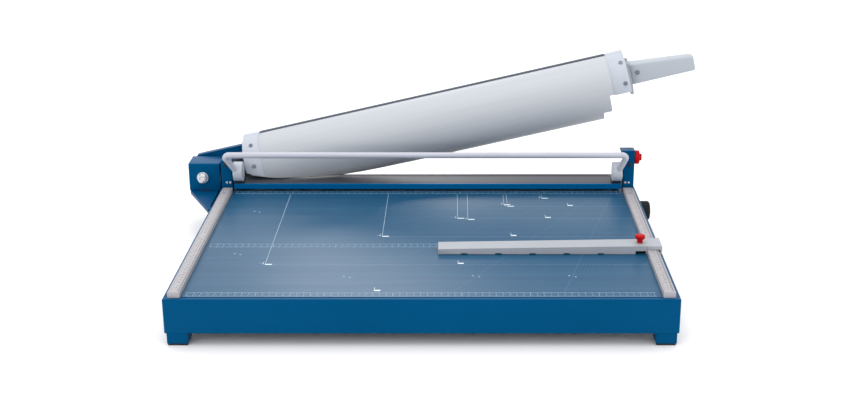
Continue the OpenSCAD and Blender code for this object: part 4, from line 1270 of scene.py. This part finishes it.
finished(lofted_grip(), handle_moulding, "knife_arm", "handle_moulding", "handle")
from_cad("handle_collar", "grip_collar", 0.9, handle_moulding, "knife_arm", "handle_moulding")
screw_low, screw_high = level_box("handle_screw")
grip_screw = raised @ Vector(((screw_low.x + screw_high.x) / 2, screw_high.y - 0.2 * mm, 3 * mm))
screws("grip_screw", [(grip_screw, (0, -1, 0))], 4.2 * mm, 1.2 * mm, screw_steel, "knife_arm",
       "bright_steel", "handle_screw")

# %% [markdown]
# ## Safety guard
# The guard is a clear-anodised sheet rolled part of a turn around the knife's edge. Its lower lip
# isn't straight: it is trimmed so that the raised guard clears the press bar, and it ends in two
# small steps at the right. A sheet with even faces is rolled first, and then cutters trim its lip
# by an exact Boolean: a belly, a brow at the left, and two notches.

# %% Guard shell
cap_left_u, cap_right_u, cap_w, cap_wall = 77 * mm, 753 * mm, 31 * mm, 8 * mm
shell_t = 2.5 * mm
shell_foot, shell_head, notch_angle, cap_foot, cap_heel = -74, 101, -39, -4, 182
ridge_foot, seal_foot = 97, 94
notch_u, shell_end_u = 729 * mm, 744.5 * mm
cap_r, hump_r = guard_r + 1.2 * mm, guard_r + 3.5 * mm
bar_top = high("press_bar").z


def guard_arc(radius, start, end, steps):
    """Points of an arc about the guard's axis: 0 degrees looks to the front, 90 looks up."""
    angles = [math.radians(start + (end - start) * i / steps) for i in range(steps + 1)]
    return [(-radius * math.cos(a), radius * math.sin(a)) for a in angles]


def rolled_sheet(u_stations, start, end, inner, outer, steps):
    """A sheet rolled about the guard's axis, as a closed mesh with even faces."""
    bm = bmesh.new()
    ring = guard_arc(outer, start, end, steps) + guard_arc(inner, end, start, steps)
    count = len(ring)
    columns = [[bm.verts.new(on_guard @ Vector((u, y, z))) for y, z in ring] for u in u_stations]
    skin(bm, columns, closed=False)
    for column in (columns[0], columns[-1]):
        for i in range(steps):
            bm.faces.new((column[i], column[i + 1], column[count - 2 - i], column[count - 1 - i]))
    return as_object(bm, "rolled_sheet")


def cut_away(obj, *cutters):
    for cutter in cutters:
        modifier = obj.modifiers.new("cut", "BOOLEAN")
        modifier.operation, modifier.solver, modifier.object = "DIFFERENCE", "EXACT", cutter
    plain(obj)
    for cutter in cutters:
        bpy.data.objects.remove(cutter)
    return obj


def lip_cutter(above, start, end, name):
    """A wedge about the guard's axis that takes away all of the lip below an angle."""
    wedge = [(0, 0), *guard_arc(1.4 * guard_r, above, -120, 8)]
    return prism(wedge, start, end, on_guard @ along_x(), name)


u_first, u_last = cap_left_u + cap_wall + 0.2 * mm, cap_right_u + cap_w - cap_wall - 0.2 * mm
stations = [u_first + (u_last - u_first) * i / 60 for i in range(61)]
shell = rolled_sheet(stations, shell_foot, shell_head, guard_r - shell_t, guard_r, 90)
belly = [(0, -60), (0, 1.9), (244, 1.9), (286, 6.6), (325, 13.2), (366, 21.5), (430, 21.5), (430, -60)]
belly_outline = [(pivot.x + x * mm, bar_top + z * mm) for x, z in belly]
belly_cutter = prism(belly_outline, -ahead(-4 * mm), -ahead(80 * mm), along_y(), "belly_cutter")
brow = [on_guard @ Vector((u, 0, guard_r * math.sin(math.radians(a))))
        for u, a in ((cap_left_u, 0.5), (cap_left_u + cap_w, -12), (150 * mm, -28.5))]
brow_floor = brow[2].z - 90 * mm
brow_outline = [(p.x, p.z) for p in brow] + [(brow[2].x, brow_floor), (brow[0].x, brow_floor)]
brow_cutter = prism(brow_outline, -ahead(-4 * mm), -ahead(90 * mm), along_y(), "brow_cutter")
notch = lip_cutter(notch_angle, notch_u, shell_end_u + mm, "notch")
end_notch = lip_cutter(cap_foot + 1, shell_end_u, u_last + mm, "end")
cut_away(shell, belly_cutter, brow_cutter, notch, end_notch)
finished(eased(shell, 0.35 * mm, 2, 50), guard_alloy, "guard", "guard_alloy", "guard_shell")

# %% [markdown]
# A stiffening rail runs along the guard's top edge, with a dark seal strip in front of its ridge.
# Each is one profile, drawn out along the arm.

# %% Guard edge rail
rail_ends = (cap_left_u + cap_w + mm, cap_right_u - mm, on_guard @ along_x())
rail_seat = guard_r + 0.1 * mm
ridge = guard_arc(hump_r, shell_head, ridge_foot, 4) + guard_arc(rail_seat, ridge_foot, shell_head, 4)
finished(eased(prism(ridge, *rail_ends, "guard_edge_rail"), 0.4 * mm, 2, 40), trim_alloy, "guard",
         "guard_alloy", "guard_edge_rail")
seal = guard_arc(guard_r + 1.8 * mm, ridge_foot, seal_foot, 4)
seal += guard_arc(rail_seat, seal_foot, ridge_foot, 4)
finished(eased(prism(seal, *rail_ends, "guard_seal_strip"), 0.3 * mm, 2, 40), seal_grey, "guard",
         "guard_alloy")

# %% [markdown]
# ## End caps
# Each cap is moulded: a wall that turns on its carrier and a skirt over the end of the shell, with a
# low hump that takes in the edge rail. Its section is swept about the guard's axis, the skirt
# growing at the top for the hump. The left cap's lower edge is cut on a slant.

# %% End caps
def moulded_cap(open_right, foot_at):
    sign = 1 if open_right else -1
    wall = cap_left_u if open_right else cap_right_u + cap_w
    hub_r, skirt_r, skirt_end, steps = 49 * mm, guard_r + 0.15 * mm, cap_w - 0.1 * mm, 72
    bm = bmesh.new()
    rings = []
    for i in range(steps + 1):
        share = i / steps
        middle = cap_foot + (cap_heel - cap_foot) * share
        rise = max(0.0, min(1.0, (middle - 84) / 7))
        outer = cap_r + (hump_r - cap_r) * rise * rise * (3 - 2 * rise)
        section = [(hub_r, 0.5 * mm), (hub_r + 0.5 * mm, 0), (outer - 1.6 * mm, 0),
                   (outer - 0.5 * mm, 0.5 * mm), (outer, 1.7 * mm), (outer, cap_w - 0.7 * mm),
                   (outer - 0.5 * mm, skirt_end), (skirt_r, skirt_end), (skirt_r, cap_wall),
                   (hub_r, cap_wall)]
        ring = []
        for radius, inset in section:
            u = wall + sign * inset
            foot = foot_at(u)
            angle = math.radians(foot + (cap_heel - foot) * share)
            place = on_guard @ Vector((u, -radius * math.cos(angle), radius * math.sin(angle)))
            ring.append(bm.verts.new(place))
        rings.append(ring)
    skin(bm, rings)
    return smooth(as_object(bm, "moulded_cap"), 42)


def slanted(u):
    share = max(0.0, min(1.0, (u - cap_left_u - 5 * mm) / (26 * mm)))
    return 2.7 - 13.2 * share


finished(moulded_cap(True, slanted), light_moulding, "guard", "light_moulding", "left_end_cap")
finished(moulded_cap(False, lambda u: cap_foot), light_moulding, "guard", "light_moulding", "right_end_cap")
cap_screw_points = []
for u in (cap_left_u + 17 * mm, cap_right_u + 22.5 * mm):
    for angle in (13, 54):
        a = math.radians(angle)
        out = Vector((0, -math.cos(a), math.sin(a)))
        cap_screw_points.append((on_guard @ (Vector((u, 0, 0)) + out * cap_r), on_guard.to_3x3() @ out))
screws("guard_cap_screws", cap_screw_points, 3.8 * mm, 1.2 * mm, screw_steel, "guard", "bright_steel",
       "cap_screws")

# %% [markdown]
# ## Press bar
# The press bar is a drawn alloy bar with a painted front strip. Fine grooves run along its top. Two
# guide pins pass through holes near its ends, and springs under it lift it when the lever is back.
# Each hole widens below into a pocket for its spring, deep enough that the bar can come down.

# %% Press bar
bar_low, bar_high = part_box("press_bar")
strip_y, groove_z = bar_low.y + 3.2 * mm, bar_high.z - 0.5 * mm
bar_profile = [(bar_high.y, bar_low.z), (strip_y, bar_low.z), (strip_y, bar_high.z)]
for y in (strip_y + 6 * mm, bar_high.y - 7 * mm):
    bar_profile += [(y, bar_high.z), (y + 0.3 * mm, groove_z), (y + 1.1 * mm, groove_z),
                    (y + 1.4 * mm, bar_high.z)]
bar_profile.append((bar_high.y, bar_high.z))
bar = prism(bar_profile, bar_low.x, bar_high.x, along_x(), "press_bar")
pin_low, pin_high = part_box("bar_guide_pins")
pin_r, pin_head_r = 4 * mm, (pin_high.y - pin_low.y) / 2
pin_y = (pin_low.y + pin_high.y) / 2
spring_low, spring_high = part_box("lift_springs")
pocket_r = (spring_high.y - spring_low.y) / 2 + 0.5 * mm
pocket_top = spring_high.z - spring_low.z + 0.7 * mm
hole_top = bar_high.z - bar_low.z + 2 * mm
hole_r = pin_r + 0.4 * mm
hole_profile = [(0, 0), (pocket_r, 0), (pocket_r, pocket_top), (hole_r, pocket_top), (hole_r, hole_top),
                (0, hole_top)]
holes = []
for side in (-1, 1):
    place = Matrix.Translation((side * (pin_high.x - pin_head_r), pin_y, bar_low.z - mm))
    holes.append(turned(hole_profile, place, 32))
cut_away(bar, *holes)
finished(eased(bar, 0.3 * mm, 2, 50), bar_alloy, "press_bar_unit", "bar_alloy", "press_bar")
strip_ease = 0.9 * mm
front_strip = [(strip_y, bar_low.z), (bar_low.y, bar_low.z), (bar_low.y, bar_high.z - strip_ease),
               (bar_low.y + strip_ease, bar_high.z), (strip_y, bar_high.z)]
strip = prism(front_strip, bar_low.x, bar_high.x, along_x(), "painted_front_strip")
# The strip takes the lightened copy of the blue paint, painted light against the shade that falls on it
# under the guard and the tube.
finished(eased(strip, 0.35 * mm, 2, 40), lightened_strip_blue, "press_bar_unit", "blue_paint")
from_cad("bar_edge_strip", "paper_edge_strip", 0.5, black_plastic, "press_bar_unit", "black_plastic")
from_cad("wear_pads", "cam_wear_pads", 0.6, black_rubber, "press_bar_unit", "black_rubber")
from_cad("bar_guide_pins", "guide_pins", 0.4, bright_steel, "table", "bright_steel")

# %% [markdown]
# A lift spring is a wire wound in a spiral. The tree draws the spiral as a curve, sweeps a round wire
# along it, and stands one on every point it is given.

# %% Lift springs
def spring_tree():
    tree, given, end = new_tree("springs", ("Turns", "Float"), ("Coil", "Float"), ("Wire", "Float"),
                                ("Height", "Float"))
    new, link = tree.nodes.new, tree.links.new
    kinds = ("CurveSpiral", "CurvePrimitiveCircle", "CurveToMesh")
    spiral, wire, sweep = (new("GeometryNode" + kind) for kind in kinds)
    spiral.inputs["Resolution"].default_value = 28
    feed(tree, given, spiral, Rotations="Turns", Start_Radius="Coil", End_Radius="Coil", Height="Height")
    wire.inputs["Resolution"].default_value = 12
    feed(tree, given, wire, Radius="Wire")
    link(spiral.outputs[0], sweep.inputs["Curve"])
    link(wire.outputs[0], sweep.inputs["Profile Curve"])
    sweep.inputs["Fill Caps"].default_value = True
    place = stand_on(tree, given.outputs["Geometry"], sweep.outputs[0])
    return end_tree(tree, given, end, place.outputs["Instances"])


wire_r = 0.6 * mm
coil_r = (spring_high.y - spring_low.y) / 2 - wire_r
spring_points = [(side * (spring_high.x - coil_r - wire_r), (spring_low.y + spring_high.y) / 2,
                  spring_low.z + wire_r) for side in (-1, 1)]
springs = run_tree(spring_tree(), "lift_springs", spring_points, Turns=3.0, Coil=coil_r, Wire=wire_r,
                   Height=spring_high.z - spring_low.z - 2 * wire_r, Material=bright_steel)
finished(smooth(springs, 60), bright_steel, "table", "bright_steel", "lift_springs")

# %% [markdown]
# ## Clamp lever
# Two cam discs turn between the towers, and a bent tube joins them as a handle. A tree makes the
# tube: it takes the bare points of the bends, rounds each bend, and sweeps a circle along the line.

# %% Clamp lever
def tube_tree():
    tree, given, end = new_tree("bent_tube", ("Radius", "Float"), ("Bend", "Float"))
    new, link = tree.nodes.new, tree.links.new
    kinds = ("MeshToCurve", "FilletCurve", "CurvePrimitiveCircle", "CurveToMesh")
    line, bend, circle, sweep = (new("GeometryNode" + kind) for kind in kinds)
    bend.mode = "POLY"
    link(given.outputs["Geometry"], line.inputs[0])
    link(line.outputs[0], bend.inputs["Curve"])
    bend.inputs["Count"].default_value = 12
    feed(tree, given, bend, Radius="Bend")
    circle.inputs["Resolution"].default_value = 28
    feed(tree, given, circle, Radius="Radius")
    link(bend.outputs[0], sweep.inputs["Curve"])
    link(circle.outputs[0], sweep.inputs["Profile Curve"])
    sweep.inputs["Fill Caps"].default_value = True
    return end_tree(tree, given, end, sweep.outputs[0])


disc_x, disc_d, disc_up = 339.5 * mm, 64 * mm, 34 * mm
left_x, right_x, grip_d, grip_up = -361 * mm, 353 * mm, 85 * mm, 73.6 * mm
tube_points = [
    (-disc_x, ahead(disc_d), top_z + disc_up), (left_x, ahead(grip_d), top_z + grip_up),
    (right_x, ahead(grip_d), top_z + grip_up), (disc_x, ahead(disc_d), top_z + disc_up),
]
tube = run_tree(tube_tree(), "clamp_tube", tube_points, Radius=5.4 * mm, Bend=7 * mm, Material=tube_coat)
finished(smooth(tube, 50), tube_coat, "clamp_lever", "tube_coat", "clamp_tube")
for word in ("left", "right"):
    from_cad(f"{word}_cam_disc", f"{word}_cam", 1.3, light_moulding, "clamp_lever", "light_moulding", 40)
from_cad("cam_axles", "cam_axle_pins", 0.4, bright_steel, "clamp_lever", "bright_steel")

# %% [markdown]
# ## Back stop
# The back stop is one cast bar that slides over the right rail, lower at its free end, with notches
# along its foot. A red knob on a screw presses a shoe against the table to hold it.

# %% Back stop and knob
# The stop's moulding carries a slight blue tint, a painted reflection of the work surface.
from_cad("back_stop", "sliding_stop", 0.5, stop_moulding, "back_stop_unit", "rail_alloy")
from_cad("stop_guide", "clamping_shoe", 0.5, black_plastic, "back_stop_unit", "black_plastic")
from_cad("stop_screw", "clamping_screw", 0.4, bright_steel, "stop_clamp", "bright_steel")
knob_low, knob_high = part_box("stop_knob")
knob_mid = (knob_low + knob_high) / 2
knob_place = Matrix.Translation((knob_mid.x, knob_mid.y, knob_low.z))
knob_h = knob_high.z - knob_low.z
stem_r, stem_h, crown_h = 4.5 * mm, knob_h - 6.4 * mm, knob_h - 6.6 * mm
stop_head_r = (knob_high.x - knob_low.x) / 2


def head_flutes(angle, radius, height):
    return 1 if radius < 6 * mm else 1 - 0.07 * max(0.0, math.cos(12 * angle)) ** 2


stem = turned([(0, 0), (stem_r, 0), (stem_r, stem_h), (0, stem_h)], knob_place, 48)
crown = turned(
    [(0, crown_h), (6.6 * mm, crown_h), (stop_head_r, crown_h + 1.2 * mm),
     (stop_head_r, knob_h - 1.4 * mm), (stop_head_r - 0.7 * mm, knob_h - 0.4 * mm),
     (stop_head_r - 2 * mm, knob_h), (0, knob_h)], knob_place, 96, head_flutes)
finished(join("red_stop_knob", [smooth(stem, 50), smooth(crown, 50)]), red_plastic, "stop_clamp",
         "red_plastic", "stop_knob")

# %% [markdown]
# ## Narrow-strip gauge
# Below the table a shaft turns two pinions, and the pinions drive two racks that carry a fence
# behind the blade. The black knob on the right turns the shaft: it is fluted and slightly domed.

# %% Strip gauge
from_cad("gauge_fence", "strip_fence", 0.4, gauge_alloy, "strip_gauge", "rail_alloy")
from_cad("gauge_racks", "fence_racks", 0.15, bright_steel, "strip_gauge", "bright_steel")
from_cad("gauge_shaft", "drive_shaft", 0.5, bright_steel, "gauge_drive", "bright_steel")
from_cad("gauge_pinions", "drive_pinions", 0.12, bright_steel, "gauge_drive", "bright_steel")
from_cad("gauge_brackets", "shaft_brackets", 0.7, blue_paint, "table", "blue_paint")
wheel_low, wheel_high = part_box("gauge_knob")
wheel_mid = (wheel_low + wheel_high) / 2
wheel_r, wheel_w = (wheel_high.z - wheel_low.z) / 2, wheel_high.x - wheel_low.x
wheel_place = axes((wheel_low.x, wheel_mid.y, wheel_mid.z), (0, 1, 0), (0, 0, 1))


def wheel_flutes(angle, radius, height):
    edge = radius > wheel_r - 1.5 * mm and 3 * mm < height < wheel_w - 3 * mm
    return 1 - (0.055 if edge else 0.01) * max(0.0, math.cos(18 * angle)) ** 2


dome_r, dome_start = 5 * mm, wheel_w - 6 * mm
wheel_profile = [(0, 0), (wheel_r - 2 * mm, 0), (wheel_r, 1.2 * mm), (wheel_r, 2.8 * mm),
                 (wheel_r, 3.4 * mm), (wheel_r, dome_start)]
wheel_profile += [(wheel_r - dome_r + dome_r * math.cos(a), dome_start + dome_r * math.sin(a))
                  for a in (0.3, 0.6, 0.9, 1.2, 1.5)]
wheel_profile += [(wheel_r - 8 * mm, wheel_w - 0.6 * mm), (wheel_r - 9 * mm, wheel_w - 1.2 * mm),
                  (4 * mm, wheel_w - 0.3 * mm), (0, wheel_w)]
finished(smooth(turned(wheel_profile, wheel_place, 144, wheel_flutes, "fluted_knob"), 45), black_plastic,
         "gauge_drive", "black_plastic", "gauge_knob")

# %% Sizes and finish
visual_box = [list(corner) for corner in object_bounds()]
for name, corners in (("cad", cad_box), ("visual", visual_box)):
    print(name, [[round(c, 4) for c in corner] for corner in corners])
